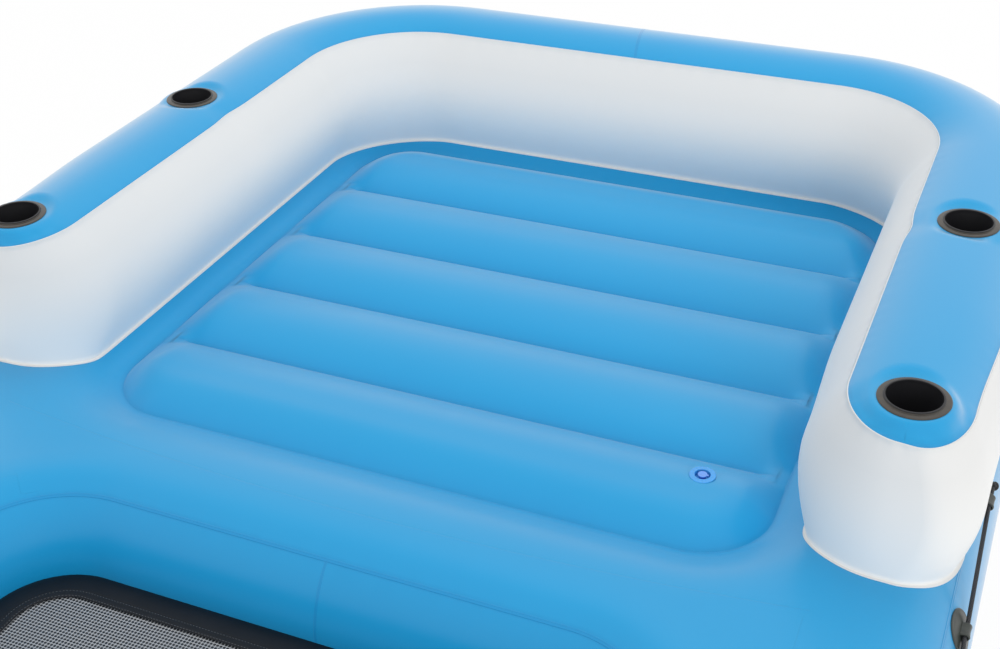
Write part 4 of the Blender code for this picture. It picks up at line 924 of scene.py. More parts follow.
class ISLAND_OT_base(Operator):
    """Sheets of the base ring and the weld bands between them."""

    bl_idname = "island.base"
    bl_label = "Base ring"

    def execute(self, context):
        sizes = settings()[0]
        film = sky_film()
        ring_sheet("base_top_film", film, base_top_height, ["base_top_sheet"], True, sizes.mesh_size)
        ring_sheet("base_bottom_film", film, base_bottom_height, ["base_bottom_sheet"], False, sizes.mesh_size * 1.6)
        self.wall("base_outer_film", BASE_OUTLINE, -1.0, SEAM_ANGLE, 22, True, ["base_outer_wall"], film)
        self.wall("well_film", WELL_OUTLINE, 1.0, WELL_SEAM_ANGLE, 26, False, ["well_wall_left", "well_wall_right"], film)
        ring = FLOOR_OUTLINE.loop(0.0003)
        rows = [[(x, y, mix(VALLEY_HEIGHT - 0.0009, UNDER_VALLEY + 0.0009, row / 4.0)) for x, y in ring] for row in range(5)]
        lofted_piece("floor_surround_film", rows, film, True, True, ["floor_surround_wall"], 0.0)
        for name, outline, side, angle in (
            ("outer_weld_upper", BASE_OUTLINE, -1.0, SEAM_ANGLE),
            ("outer_weld_lower", BASE_OUTLINE, -1.0, math.pi - SEAM_ANGLE),
            ("well_weld_upper", WELL_OUTLINE, 1.0, WELL_SEAM_ANGLE),
            ("well_weld_lower", WELL_OUTLINE, 1.0, math.pi - WELL_SEAM_ANGLE),
        ):
            path, normals = self.ring_line(outline, side, angle)
            ribbon(name, path, normals, sizes.weld_width, sizes.weld_height, film)
        for name, outline, side, start, place in (
            ("well_joint_weld", WELL_OUTLINE, 1.0, WELL_SEAM_ANGLE, (0.0, WELL_OUTLINE.back, 1.0)),
            ("outer_joint_weld", BASE_OUTLINE, -1.0, SEAM_ANGLE, (0.0, BASE_BACK, 1.0)),
        ):
            path, normals = [], []
            for step in range(25):
                angle = mix(start, math.pi - start, step / 24.0)
                inset = SHOULDER_REACH * (1.0 - math.sin(angle))
                y = place[1] + side * inset
                path.append(Vector((place[0], y, BASE_MIDDLE * (1.0 + math.cos(angle)))))
                outward = -side * math.sin(angle) * BASE_MIDDLE
                normals.append(Vector((0.0, outward, math.cos(angle) * SHOULDER_REACH)).normalized())
            ribbon(name, path, normals, sizes.weld_width * 0.8, sizes.weld_height * 0.7, film, False)
        return {"FINISHED"}

    def ring_line(self, outline, side, angle):
        """Closed line on a ring wall at a section angle, with the outward normals there."""
        inset = SHOULDER_REACH * (1.0 - math.sin(angle))
        loop = outline.loop(side * inset)
        path = [Vector((x, y, BASE_MIDDLE * (1.0 + math.cos(angle)))) for x, y in loop]
        normals = []
        for index in range(len(loop)):
            ahead, behind = Vector(loop[(index + 1) % len(loop)]), Vector(loop[index - 1])
            along = (ahead - behind).normalized()
            outward = Vector((along.y, -along.x, 0.0)) * -side
            normal = outward * math.sin(angle) * BASE_MIDDLE
            normal.z = math.cos(angle) * SHOULDER_REACH
            normals.append(normal.normalized())
        return path, normals

    def wall(self, name, outline, side, first_angle, count, outer, stands_for, film):
        """Bulged wall between the upper and the lower weld."""
        rows = []
        for row in range(count + 1):
            angle = mix(first_angle, math.pi - first_angle, row / count)
            inset = SHOULDER_REACH * (1.0 - math.sin(angle))
            height = BASE_MIDDLE * (1.0 + math.cos(angle))
            rows.append([(x, y, height) for x, y in outline.loop(side * inset)])
        return lofted_piece(name, rows, film, True, outer, stands_for, 0.5)


class ISLAND_OT_floor(Operator):
    """Ribbed floor, its border weld and the webs inside it."""

    bl_idname = "island.floor"
    bl_label = "Floor"

    def execute(self, context):
        film = sky_film()
        self.ribbed("floor_top_film", floor_top_height, ["floor_top_sheet"], True, film)
        self.ribbed("floor_bottom_film", floor_bottom_height, ["floor_bottom_sheet"], False, film)
        loop = FLOOR_OUTLINE.loop(0.0)
        path = [Vector((x, y, VALLEY_HEIGHT + 0.0005)) for x, y in loop]
        ribbon("floor_border_weld", path, [Vector((0.0, 0.0, 1.0))] * len(path), 0.008, 0.0008, film)
        web = Finish("web_film", (0.62, 0.72, 0.80), 0.45)
        web.set("Roughness", 0.42 + web.noise(30.0) * 0.1)
        web.relief(web.noise(300.0) * 0.05)
        for seam in range(1, BEAMS):
            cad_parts["floor_web_%d" % seam].material_slots[0].material = web.material
        return {"FINISHED"}

    def ribbed(self, name, height, stands_for, facing_up, film):
        """Sheet of five beams; rows follow the seams, and columns close up towards both ends."""
        depths = set()
        for beam in range(BEAMS):
            for step in range(18):
                share = 0.5 - 0.5 * math.cos(math.pi * step / 18)
                depths.add(round(FLOOR_FRONT + (beam + share) * BEAM_DEPTH, 6))
        depths.add(FLOOR_BACK)
        corner = FLOOR_OUTLINE.loop(0.0, 0.02, 16)
        depths.update(round(y, 6) for x, y in corner if abs(x) > FLOOR_HALF_WIDTH - 0.18 and x < FLOOR_HALF_WIDTH - 0.0001)
        valve_x, valve_y = self.valve_centre()
        depths.update(round(valve_y + step * 0.004, 6) for step in range(-9, 10))
        ordered = sorted(depths)
        kept = [ordered[0]]
        for y in ordered[1:]:
            if y - kept[-1] > 0.002 or y == ordered[-1]:
                kept.append(y)
        shares = {math.sin(math.pi / 2.0 * step / 34) for step in range(-34, 35)}
        shares = {share for share in shares if abs(share * FLOOR_HALF_WIDTH - valve_x) > 0.036}
        shares = sorted(shares | {(valve_x + step * 0.004) / FLOOR_HALF_WIDTH for step in range(-9, 10)})
        points, normals = [], []
        measures = {"run": [], "reach": [], "web": [], "gather": []}
        for y in kept:
            half = self.half_width(y)
            for share in shares:
                x = half * share
                points.append((x, y, height(x, y)))
                normals.append(self.normal(height, x, y, facing_up))
                seam = min(abs(y - FLOOR_BACK + beam * BEAM_DEPTH) for beam in range(1, BEAMS))
                border = max(-FLOOR_OUTLINE.distance(x, y), 0.0)
                near_seam = seam if abs(x) < SEAM_HALF_LENGTH else 1.0
                measures["run"].append(x if near_seam < border else FLOOR_OUTLINE.run(x, y))
                measures["reach"].append(min(near_seam, border))
                measures["web"].append(1.0)
                measures["gather"].append(0.5 if near_seam > border else 0.5 * smooth_step(0.55, 0.79, abs(x)) + 0.12)
        faces = grid_faces(len(kept), len(shares), False, not facing_up)
        if facing_up:
            hole = (valve_x, valve_y)
            faces = [face for face in faces if min(math.dist(points[index][:2], hole) for index in face) > 0.0187]
        return new_piece(name, points, faces, film, stands_for, measures, normals)

    def valve_centre(self):
        """Where the small valve sits."""
        low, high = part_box("floor_valve_flange")
        return (low.x + high.x) / 2.0, (low.y + high.y) / 2.0

    def half_width(self, y):
        """Half the floor's width at a depth."""
        for end, radius, side in ((FLOOR_FRONT, 0.170, 1.0), (FLOOR_BACK, 0.180, -1.0)):
            depth = (y - end) * side
            if depth < radius:
                return FLOOR_HALF_WIDTH - radius + math.sqrt(max(radius ** 2 - (radius - depth) ** 2, 0.0))
        return FLOOR_HALF_WIDTH

    def normal(self, height, x, y, facing_up):
        """Normal from the slope, soft across the seams."""
        return height_normal(height, x, y, 1.0 if facing_up else -1.0, 0.0025)


class ISLAND_OT_backrest(Operator):
    """White walls with their folded foot, blue panel, and the bright welds along it."""

    bl_idname = "island.backrest"
    bl_label = "Backrest"

    tip_steps = 18

    def execute(self, context):
        white, sky = white_film(), sky_film()
        lofted_piece("backrest_inner_film", self.wall(True), white, False, False, ["backrest_inner_wall"], 0.5)
        lofted_piece("backrest_outer_film", self.wall(False), white, False, True, ["backrest_outer_wall"], 0.5)
        self.panel(sky)
        self.panel_welds(white, sky)
        return {"FINISHED"}

    def line(self, share, inside):
        """Level of a wall: the inner one goes on round both arm fronts."""
        inner, outer = backrest_line(share, tip_steps=self.tip_steps)
        tip = self.tip_steps
        if not inside:
            return outer[tip:len(outer) - tip]
        right = [outer[step] for step in range(tip, -1, -1)]
        left = [outer[len(outer) - 1 - step] for step in range(tip + 1)]
        return right + inner + left

    def outward(self, line, inside):
        """Horizontal directions out of the chamber along a level."""
        made = []
        for step in range(len(line)):
            ahead = Vector(line[min(step + 1, len(line) - 1)])
            behind = Vector(line[max(step - 1, 0)])
            along = (ahead - behind).normalized()
            side = -1.0 if inside else 1.0
            made.append(Vector((along.y, -along.x)) * side)
        return made

    def wall(self, inside):
        """Rows from the folded foot to the panel's seam."""
        lip = settings()[0].lip_width
        across_share = 0.0 if inside else 1.0
        rows = []
        foot_line = self.line(0.0, inside)
        feet = [base_top_height(x, y) for x, y in foot_line]
        flange = [(-0.0006, lip * 0.90), (0.0004, lip), (0.0014, lip * 0.95), (0.0017, lip * 0.80), (0.0016, lip * 0.30)]
        flange += [(0.0020, lip * 0.12), (0.0034, 0.0)]
        directions = self.outward(foot_line, inside)
        for lift, out in flange:
            row = []
            for (x, y), direction in zip(foot_line, directions):
                x, y = x + direction.x * out, y + direction.y * out
                row.append((x, y, base_top_height(x, y) + lift))
            rows.append(row)
        steps = 26
        profile = [(row / steps, 0.0034 * (1.0 - row / steps), 0.0) for row in range(1, steps)]
        profile += [(0.985, 0.0, 0.0003), (0.993, 0.0, 0.0014), (1.0, 0.0, 0.0018)]
        for share, lift, out in profile:
            line = self.line(share, inside)
            directions = self.outward(line, inside)
            row = []
            for (x, y), direction, foot in zip(line, directions, feet):
                top = seam_height(x, y, across_share)
                row.append((x + direction.x * out, y + direction.y * out, mix(foot, top, share) + lift))
            rows.append(row)
        return rows

    def panel(self, film):
        """Crowned panel with its four round openings."""
        length = CORNER[1] - PANEL_FRONT - PANEL_TIP_LENGTH
        tip_steps = 30
        inner, outer = backrest_line(1.0, int(length / 0.0085), tip_steps, back_steps=24)
        count = len(inner)
        across = 34
        rows = [[] for _ in range(across + 1)]
        walked = [[0.0], [0.0]]
        for edge, line in zip(walked, (inner, outer)):
            for before, after in zip(line, line[1:]):
                edge.append(edge[-1] + math.dist(before, after))
        measures = {"run": [], "reach": [], "web": [], "gather": []}
        for step in range(across + 1):
            share = step / across
            edge = walked[1 if share > 0.5 else 0]
            for station, (near, far) in enumerate(zip(inner, outer)):
                into_tip = tip_share(min(station, count - 1 - station), tip_steps)
                x, y = mix(near[0], far[0], share), mix(near[1], far[1], share)
                rows[step].append((x, y, panel_height(x, y, share, into_tip)))
                measures["run"].append(min(edge[station], edge[-1] - edge[station]))
                measures["reach"].append((1.0 - panel_across(share, into_tip)) * 0.1315)
                measures["web"].append(1.0)
                measures["gather"].append(mix(0.4, 1.6, smooth_step(0.0, 0.5, into_tip)))
        holes = [(side * CUP_X, cup_y) for side in (-1.0, 1.0) for cup_y in CUP_YS]
        inside = set()
        for row, line in enumerate(rows):
            for step, point in enumerate(line):
                if min(math.dist(point[:2], hole) for hole in holes) < 0.0575:
                    inside.add(row * count + step)
        faces = grid_faces(len(rows), count, False, True, inside)
        points = [point for line in rows for point in line]
        nodes = ["backrest_top_panel_left", "backrest_top_panel_right"]
        new_piece("backrest_panel_film", points, faces, film, nodes, measures)

    def panel_welds(self, white, sky):
        """Thin bright beads where the panel meets the walls, and the panel's joint at the back."""
        inner, outer = backrest_line(1.0, 80, 30, 30, 20)
        whole = inner + list(reversed(outer))
        path = []
        for index, (x, y) in enumerate(whole):
            share = 0.0 if index < len(inner) else 1.0
            path.append(Vector((x, y, seam_height(x, y, share))))
        self.bead("panel_weld", path, 0.0016, white)
        joint, normals = [], []
        for step in range(21):
            share = step / 20.0
            x, y = mix(-0.004, -0.050, share), mix(PANEL_INNER[1], PANEL_OUTER[1], share)
            joint.append(Vector((x, y, panel_height(x, y, share, 0.0))))
        for step, point in enumerate(joint):
            along = joint[min(step + 1, 20)] - joint[max(step - 1, 0)]
            normals.append(Vector((0.0, -along.z, along.y)).normalized())
        ribbon("panel_joint_weld", joint, normals, 0.010, 0.0006, sky, False)

    def bead(self, name, path, radius, finish):
        """Round bead along a closed path."""
        points, faces = [], []
        count, sides = len(path), 8
        for index, place in enumerate(path):
            along = (path[(index + 1) % count] - path[index - 1]).normalized()
            side = along.cross(Vector((0.0, 0.0, 1.0))).normalized()
            up = side.cross(along)
            for step in range(sides):
                angle = 2.0 * math.pi * step / sides
                points.append(place + (side * math.cos(angle) + up * math.sin(angle)) * radius)
        for index in range(count):
            following = (index + 1) % count
            for step in range(sides):
                after = (step + 1) % sides
                faces.append((index * sides + step, following * sides + step, following * sides + after, index * sides + after))
        measures = {"run": [0.0] * len(points), "reach": [1.0] * len(points), "web": [1.0] * len(points), "gather": [0.0] * len(points)}
        return new_piece(name, points, faces, finish, (), measures)


class ISLAND_OT_cup_holders(Operator):
    """Four cup holders: smoky clear rings and black bowls."""

    bl_idname = "island.cup_holders"
    bl_label = "Cup holders"

    def execute(self, context):
        sizes, colours, _ = settings()
        ring_finish = self.ring_finish(colours.ring)
        bowl_finish = self.bowl_finish()
        ring_profile = [
            (0.0557, 0.0), (0.0712, -0.0002), (0.0712, 0.0012), (0.0690, 0.0027),
            (0.0592, 0.0032), (0.0588, 0.0050), (0.0557, 0.0052),
        ]
        bowl_profile = [
            (0.0, -0.0931), (0.0418, -0.0931), (0.0430, -0.0919), (0.0554, -0.0012), (0.0554, 0.0055),
            (0.0590, 0.0055), (0.0585, 0.0069), (0.0548, 0.0071), (0.0542, 0.0060), (0.0540, -0.0012),
            (0.0416, -0.0905), (0.0, -0.0907),
        ]
        for side in ("left", "right"):
            for end in ("front", "rear"):
                node = "cup_holder_flange_%s_%s" % (side, end)
                low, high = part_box(node)
                place = Matrix.Translation(((low.x + high.x) / 2.0, (low.y + high.y) / 2.0, low.z))
                shape = turned(rounded(ring_profile, 0.0008), sizes.turned_steps)
                solid_piece("cup_ring_%s_%s" % (side, end), [shape], ring_finish, BODY, [node], place)
                shape = turned(rounded(bowl_profile, 0.0007), sizes.turned_steps)
                node = "cup_holder_bowl_%s_%s" % (side, end)
                solid_piece("cup_bowl_%s_%s" % (side, end), [shape], bowl_finish, BODY, [node], place)
        return {"FINISHED"}

    def ring_finish(self, colour):
        """Smoky flexible plastic, glossy, a little lighter in random clouds."""
        made = Finish("smoky_ring", colour, 0.24, IOR=1.5, Specular_IOR_Level=0.40, Coat_Weight=0.15, Coat_Roughness=0.15)
        cloud = made.noise(60.0, 4.0)
        light = tuple(channel * 1.7 for channel in colour)
        made.set("Base Color", made.blend(cloud, colour, light))
        made.set("Roughness", 0.20 + made.noise(160.0) * 0.10)
        made.relief(made.noise(240.0) * 0.06)
        return made.material

    def bowl_finish(self):
        """Black moulded plastic with a fine texture."""
        made = Finish("bowl_black", (0.010, 0.010, 0.012), 0.42)
        made.set("Roughness", 0.38 + made.noise(200.0) * 0.12)
        made.relief(made.noise(900.0, 2.0) * 0.06)
        return made.material


class ISLAND_OT_floor_valve(Operator):
    """Small clear valve in the foremost beam."""

    bl_idname = "island.floor_valve"
    bl_label = "Floor valve"

    def execute(self, context):
        sizes, colours, _ = settings()
        collar = self.finish("blue_vinyl", (0.030, 0.270, 0.640))
        tube = self.finish("deep_blue_vinyl", (0.020, 0.105, 0.500))
        lid = self.finish("lilac_vinyl", colours.valve)
        low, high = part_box("floor_valve_flange")
        x, y, seat = (low.x + high.x) / 2.0, (low.y + high.y) / 2.0, high.z - 0.0012
        place = Matrix.Translation((x, y, seat))
        steps = sizes.turned_steps
        flange = [
            (0.0084, -0.0132), (0.0184, -0.0132), (0.0184, -0.0001), (0.0295, -0.0004), (0.0290, 0.0008),
            (0.0270, 0.0012), (0.0215, 0.0012), (0.0205, 0.0019), (0.0178, 0.0019), (0.0172, 0.0010),
            (0.0172, -0.0120), (0.0084, -0.0120),
        ]
        solid_piece(
            "floor_valve_collar", [turned(rounded(flange, 0.0005), steps)], collar, BODY, ["floor_valve_flange"], place
        )
        top = 0.0003
        stem = [
            (0.0048, top - 0.0290), (0.0080, top - 0.0290), (0.0080, top - 0.0025), (0.0095, top - 0.0025),
            (0.0095, top), (0.0048, top),
        ]
        ear = box_shape((0.00875, -0.0025, top - 0.0018), (0.0140, 0.0025, top - 0.0003), 0.0003)
        solid_piece(
            "floor_valve_tube", [turned(rounded(stem, 0.0004), steps), ear], tube, "floor_valve_stem",
            ["floor_valve_stem"], place,
        )
        hinge = 0.0016
        cap = [
            (0.0, hinge - 0.0040), (0.0034, hinge - 0.0040), (0.0040, hinge - 0.0030), (0.0040, hinge - 0.0010),
            (0.0104, hinge - 0.0010), (0.0104, hinge + 0.0006), (0.0092, hinge + 0.0010), (0.0062, hinge + 0.0010),
            (0.0055, hinge + 0.0005), (0.0, hinge + 0.0005),
        ]
        strap = box_shape((0.0070, -0.0025, hinge - 0.0007), (0.0136, 0.0025, hinge + 0.0007), 0.0003)
        solid_piece(
            "floor_valve_lid", [turned(rounded(cap, 0.0004), steps), strap], lid, "floor_valve_cap",
            ["floor_valve_cap"], place,
        )
        return {"FINISHED"}

    def finish(self, name, colour):
        """Clear soft vinyl with a cloudy depth."""
        made = Finish(name, colour, 0.16, IOR=1.5, Coat_Weight=0.3, Coat_Roughness=0.10)
        pale = tuple(min(channel * 1.5 + 0.02, 1.0) for channel in colour)
        made.set("Base Color", made.blend(made.noise(260.0, 2.0), colour, pale))
        made.set("Roughness", 0.14 + made.noise(300.0) * 0.08)
        made.relief(made.noise(500.0) * 0.05)
        return made.material


class ISLAND_OT_large_valves(Operator):
    """Large screw valves of the base and the backrest, on the rear walls."""

    bl_idname = "island.large_valves"
    bl_label = "Large valves"

    def execute(self, context):
        steps = settings()[0].turned_steps
        finish = self.finish()
        for prefix in ("base_valve", "backrest_valve"):
            low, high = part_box(prefix + "_body")
            seat = Vector(((low.x + high.x) / 2.0, high.y - 0.0020, (low.z + high.z) / 2.0))
            place = Matrix.Translation(seat) @ Matrix.Rotation(-math.pi / 2.0, 4, "X")
            body = [
                (0.0220, -0.0240), (0.0245, -0.0240), (0.0245, -0.0002), (0.0380, -0.0002), (0.0378, 0.0012),
                (0.0340, 0.0020), (0.0300, 0.0016), (0.0220, 0.0020),
            ]
            solid_piece(prefix + "_seat", [turned(rounded(body, 0.0006), steps)], finish, BODY, [prefix + "_body"], place)
            low_grip, high_grip = 0.0023, 0.0083
            insert = [
                (0.0070, -0.0200), (0.0217, -0.0200), (0.0217, low_grip), (0.0275, low_grip), (0.0275, high_grip),
                (0.0187, high_grip), (0.0187, -0.0180), (0.0070, -0.0180),
            ]
            ear = box_shape((0.0217, -0.0055, low_grip), (0.0312, 0.0055, high_grip), 0.0008)
            shapes = [turned(rounded(insert, 0.0006), 108, notch=(0.0246, 0.0012, 12)), ear]
            solid_piece(prefix + "_screw", shapes, finish, prefix + "_insert", [prefix + "_insert"], place)
            lift = high_grip + 0.0003 + 0.0012
            cap = [
                (0.0, lift - 0.0062), (0.0158, lift - 0.0062), (0.0178, lift - 0.0050), (0.0178, lift - 0.0012),
                (0.0262, lift - 0.0012), (0.0262, lift + 0.0006), (0.0250, lift + 0.0012), (0.0170, lift + 0.0012),
                (0.0160, lift + 0.0004), (0.0, lift + 0.0004),
            ]
            strap = box_shape((0.0220, -0.0055, lift - 0.0008), (0.0306, 0.0055, lift + 0.0008), 0.0004)
            shapes = [turned(rounded(cap, 0.0005), steps), strap]
            solid_piece(prefix + "_lid", shapes, finish, prefix + "_cap", [prefix + "_cap"], place)
        return {"FINISHED"}

    def finish(self):
        """Grey moulded plastic."""
        made = Finish("valve_grey_plastic", (0.46, 0.48, 0.51), 0.38)
        made.set("Roughness", 0.34 + made.noise(220.0) * 0.12)
        made.relief(made.noise(800.0, 2.0) * 0.06)
        return made.material


class ISLAND_OT_net(Operator):
    """Net of the foot well, its coated band, and the stitched tape."""

    bl_idname = "island.net"
    bl_label = "Net"

    def execute(self, context):
        sizes, colours, _ = settings()
        low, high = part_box("mesh_panel")
        net_z = high.z
        band = self.strip(
            "net_band",
            [
                (-0.0003, 0.0006), (-0.006, 0.0024), (-0.016, 0.0034), (-0.030, 0.0030), (-0.046, 0.0022),
                (-0.056, 0.0016), (-0.0583, 0.0003), (-0.056, -0.0003), (-0.030, -0.0004), (-0.0003, -0.0003),
            ],
            net_z + 0.0003,
            self.band_finish(),
            ["mesh_border"],
        )
        tape = self.strip(
            "net_tape",
            [
                (-0.0523, 0.0004), (-0.0530, 0.0020), (-0.0550, 0.0028), (-0.0630, 0.0030), (-0.0710, 0.0026),
                (-0.0735, 0.0016), (-0.0743, 0.0002), (-0.0735, -0.0006), (-0.060, -0.0008), (-0.0530, -0.0004),
            ],
            net_z + 0.0022,
            self.tape_finish(),
            ["mesh_edging"],
        )
        thread = self.stitches(net_z + 0.0050, sizes.stitch_pitch)
        loop = WELL_OUTLINE.loop(-0.0463, 0.02, 12)
        centre = (0.0, (WELL_OUTLINE.front + WELL_OUTLINE.back) / 2.0)
        rings = 14
        points, faces = [], []
        for ring in range(rings + 1):
            share = 1.0 - ring / rings
            for x, y in loop:
                point = (mix(centre[0], x, share), mix(centre[1], y, share))
                sag = 0.0035 * (1.0 - share ** 2)
                points.append((point[0], point[1], mix(low.z, high.z, 0.5) - sag))
        faces = grid_faces(rings, len(loop), True, False)
        last = (rings - 1) * len(loop)
        middle = rings * len(loop)
        faces.extend((last + step, last + (step + 1) % len(loop), middle) for step in range(len(loop)))
        points = points[:middle + 1]
        net = new_piece("net_cloth", points, faces, self.net_finish(colours.net, sizes.net_pitch), ["mesh_panel"])
        return {"FINISHED"}

    def strip(self, name, profile, height, finish, stands_for):
        """Band round the well with a closed profile of offset and height."""
        rows = [[(x, y, height + lift) for x, y in WELL_OUTLINE.loop(offset, 0.02, 14)] for offset, lift in profile]
        count = len(rows[0])
        run = []
        walked = 0.0
        for step, point in enumerate(rows[0]):
            if step:
                walked += math.dist(point, rows[0][step - 1])
            run.append(walked)
        points = [point for row in rows for point in row]
        faces = grid_faces(len(rows), count, True, False)
        last = (len(rows) - 1) * count
        faces.extend((last + step, last + (step + 1) % count, (step + 1) % count, step) for step in range(count))
        shape = (points, faces)
        made = solid_piece(name, [shape], finish, BODY, stands_for)
        return made

    def stitches(self, height, pitch):
        """Two rows of short stitches on the tape."""
        thread = Finish("stitch_thread", (0.12, 0.13, 0.14), 0.6)
        thread.relief(thread.noise(900.0) * 0.2)
        points, faces = [], []
        for offset in (-0.0560, -0.0706):
            loop = WELL_OUTLINE.loop(offset, 0.02, 16)
            loop.append(loop[0])
            walked, target = 0.0, 0.0
            for start, end in zip(loop, loop[1:]):
                length = math.dist(start, end)
                while target < walked + length:
                    share = (target - walked) / length
                    along = Vector((end[0] - start[0], end[1] - start[1], 0.0)).normalized()
                    across = Vector((-along.y, along.x, 0.0))
                    centre = Vector((mix(start[0], end[0], share), mix(start[1], end[1], share), height))
                    half = along * pitch * 0.32
                    side = across * 0.00055
                    first = len(points)
                    up = Vector((0.0, 0.0, 0.0005))
                    points.extend((
                        centre - half - up * 2.0, centre - half * 0.6 - side, centre - half * 0.6 + up,
                        centre - half * 0.6 + side, centre + half * 0.6 - side, centre + half * 0.6 + up,
                        centre + half * 0.6 + side, centre + half - up * 2.0,
                    ))
                    for face in ((0, 1, 2), (0, 2, 3), (1, 4, 5, 2), (2, 5, 6, 3), (4, 7, 5), (5, 7, 6)):
                        faces.append(tuple(first + index for index in face))
                    target += pitch
                walked += length
        return new_piece("net_stitches", points, faces, thread.material)

    def band_finish(self):
        """Black coated cloth with a satin shine and a faint weave."""
        made = Finish("coated_band", (0.006, 0.008, 0.011), 0.42, Specular_IOR_Level=0.20)
        made.set("Roughness", 0.30 + made.noise(24.0, 4.0) * 0.16)
        made.set("Base Color", made.blend(made.noise(12.0), (0.005, 0.007, 0.010), (0.010, 0.013, 0.018)))
        made.relief(made.noise(30.0, 3.0) * 0.5 + made.noise(700.0, 1.0) * 0.05)
        return made.material

    def tape_finish(self):
        """Black woven tape."""
        made = Finish("woven_tape", (0.012, 0.013, 0.016), 0.6, Specular_IOR_Level=0.25)
        place = made.node("ShaderNodeSeparateXYZ", None, Vector=made.place()).outputs
        x, y = Line(made.tree, place["X"]), Line(made.tree, place["Y"])
        weave = (x * 2800.0).sine() * (y * 2800.0).sine()
        made.set("Base Color", made.blend(weave * 0.5 + 0.5, (0.006, 0.007, 0.009), (0.018, 0.020, 0.024)))
        made.set("Roughness", 0.55 + weave * 0.08)
        made.relief(weave * 0.25 + made.noise(300.0) * 0.1)
        return made.material

    def net_finish(self, colour, pitch):
        """Woven net: a slanted lattice of yarn round small holes, which are painted near black as painted shade; the
        yarn carries a painted highlight along its middle.
        """
        made = Finish("woven_net", colour, 0.6)
        place = made.node("ShaderNodeSeparateXYZ", None, Vector=made.place()).outputs
        x, y = Line(made.tree, place["X"]), Line(made.tree, place["Y"])
        turn = math.pi / pitch
        wave = (x * turn).sine() * (y * turn).sine()
        yarn = (x * (turn * 8.0) + y * (turn * 8.0)).sine()
        hole = abs(wave).math("GREATER_THAN", 0.40)
        # Painted highlight along the middle of each strand of yarn, painted shade towards the holes.
        shade = made.blend(abs(wave) * 2.2, tuple(channel * 1.3 for channel in colour), tuple(channel * 0.7 for channel in colour))
        # Holes painted near black and almost opaque: painted shade of the ground under the net.
        made.set("Base Color", made.blend(hole, shade, (0.010, 0.013, 0.017)))
        made.set("Alpha", 1.0 - hole * 0.06)
        made.set("Roughness", 0.55 + yarn * 0.08)
        made.relief((1.0 - abs(wave)) * 0.8 + yarn * 0.15)
        return made.material


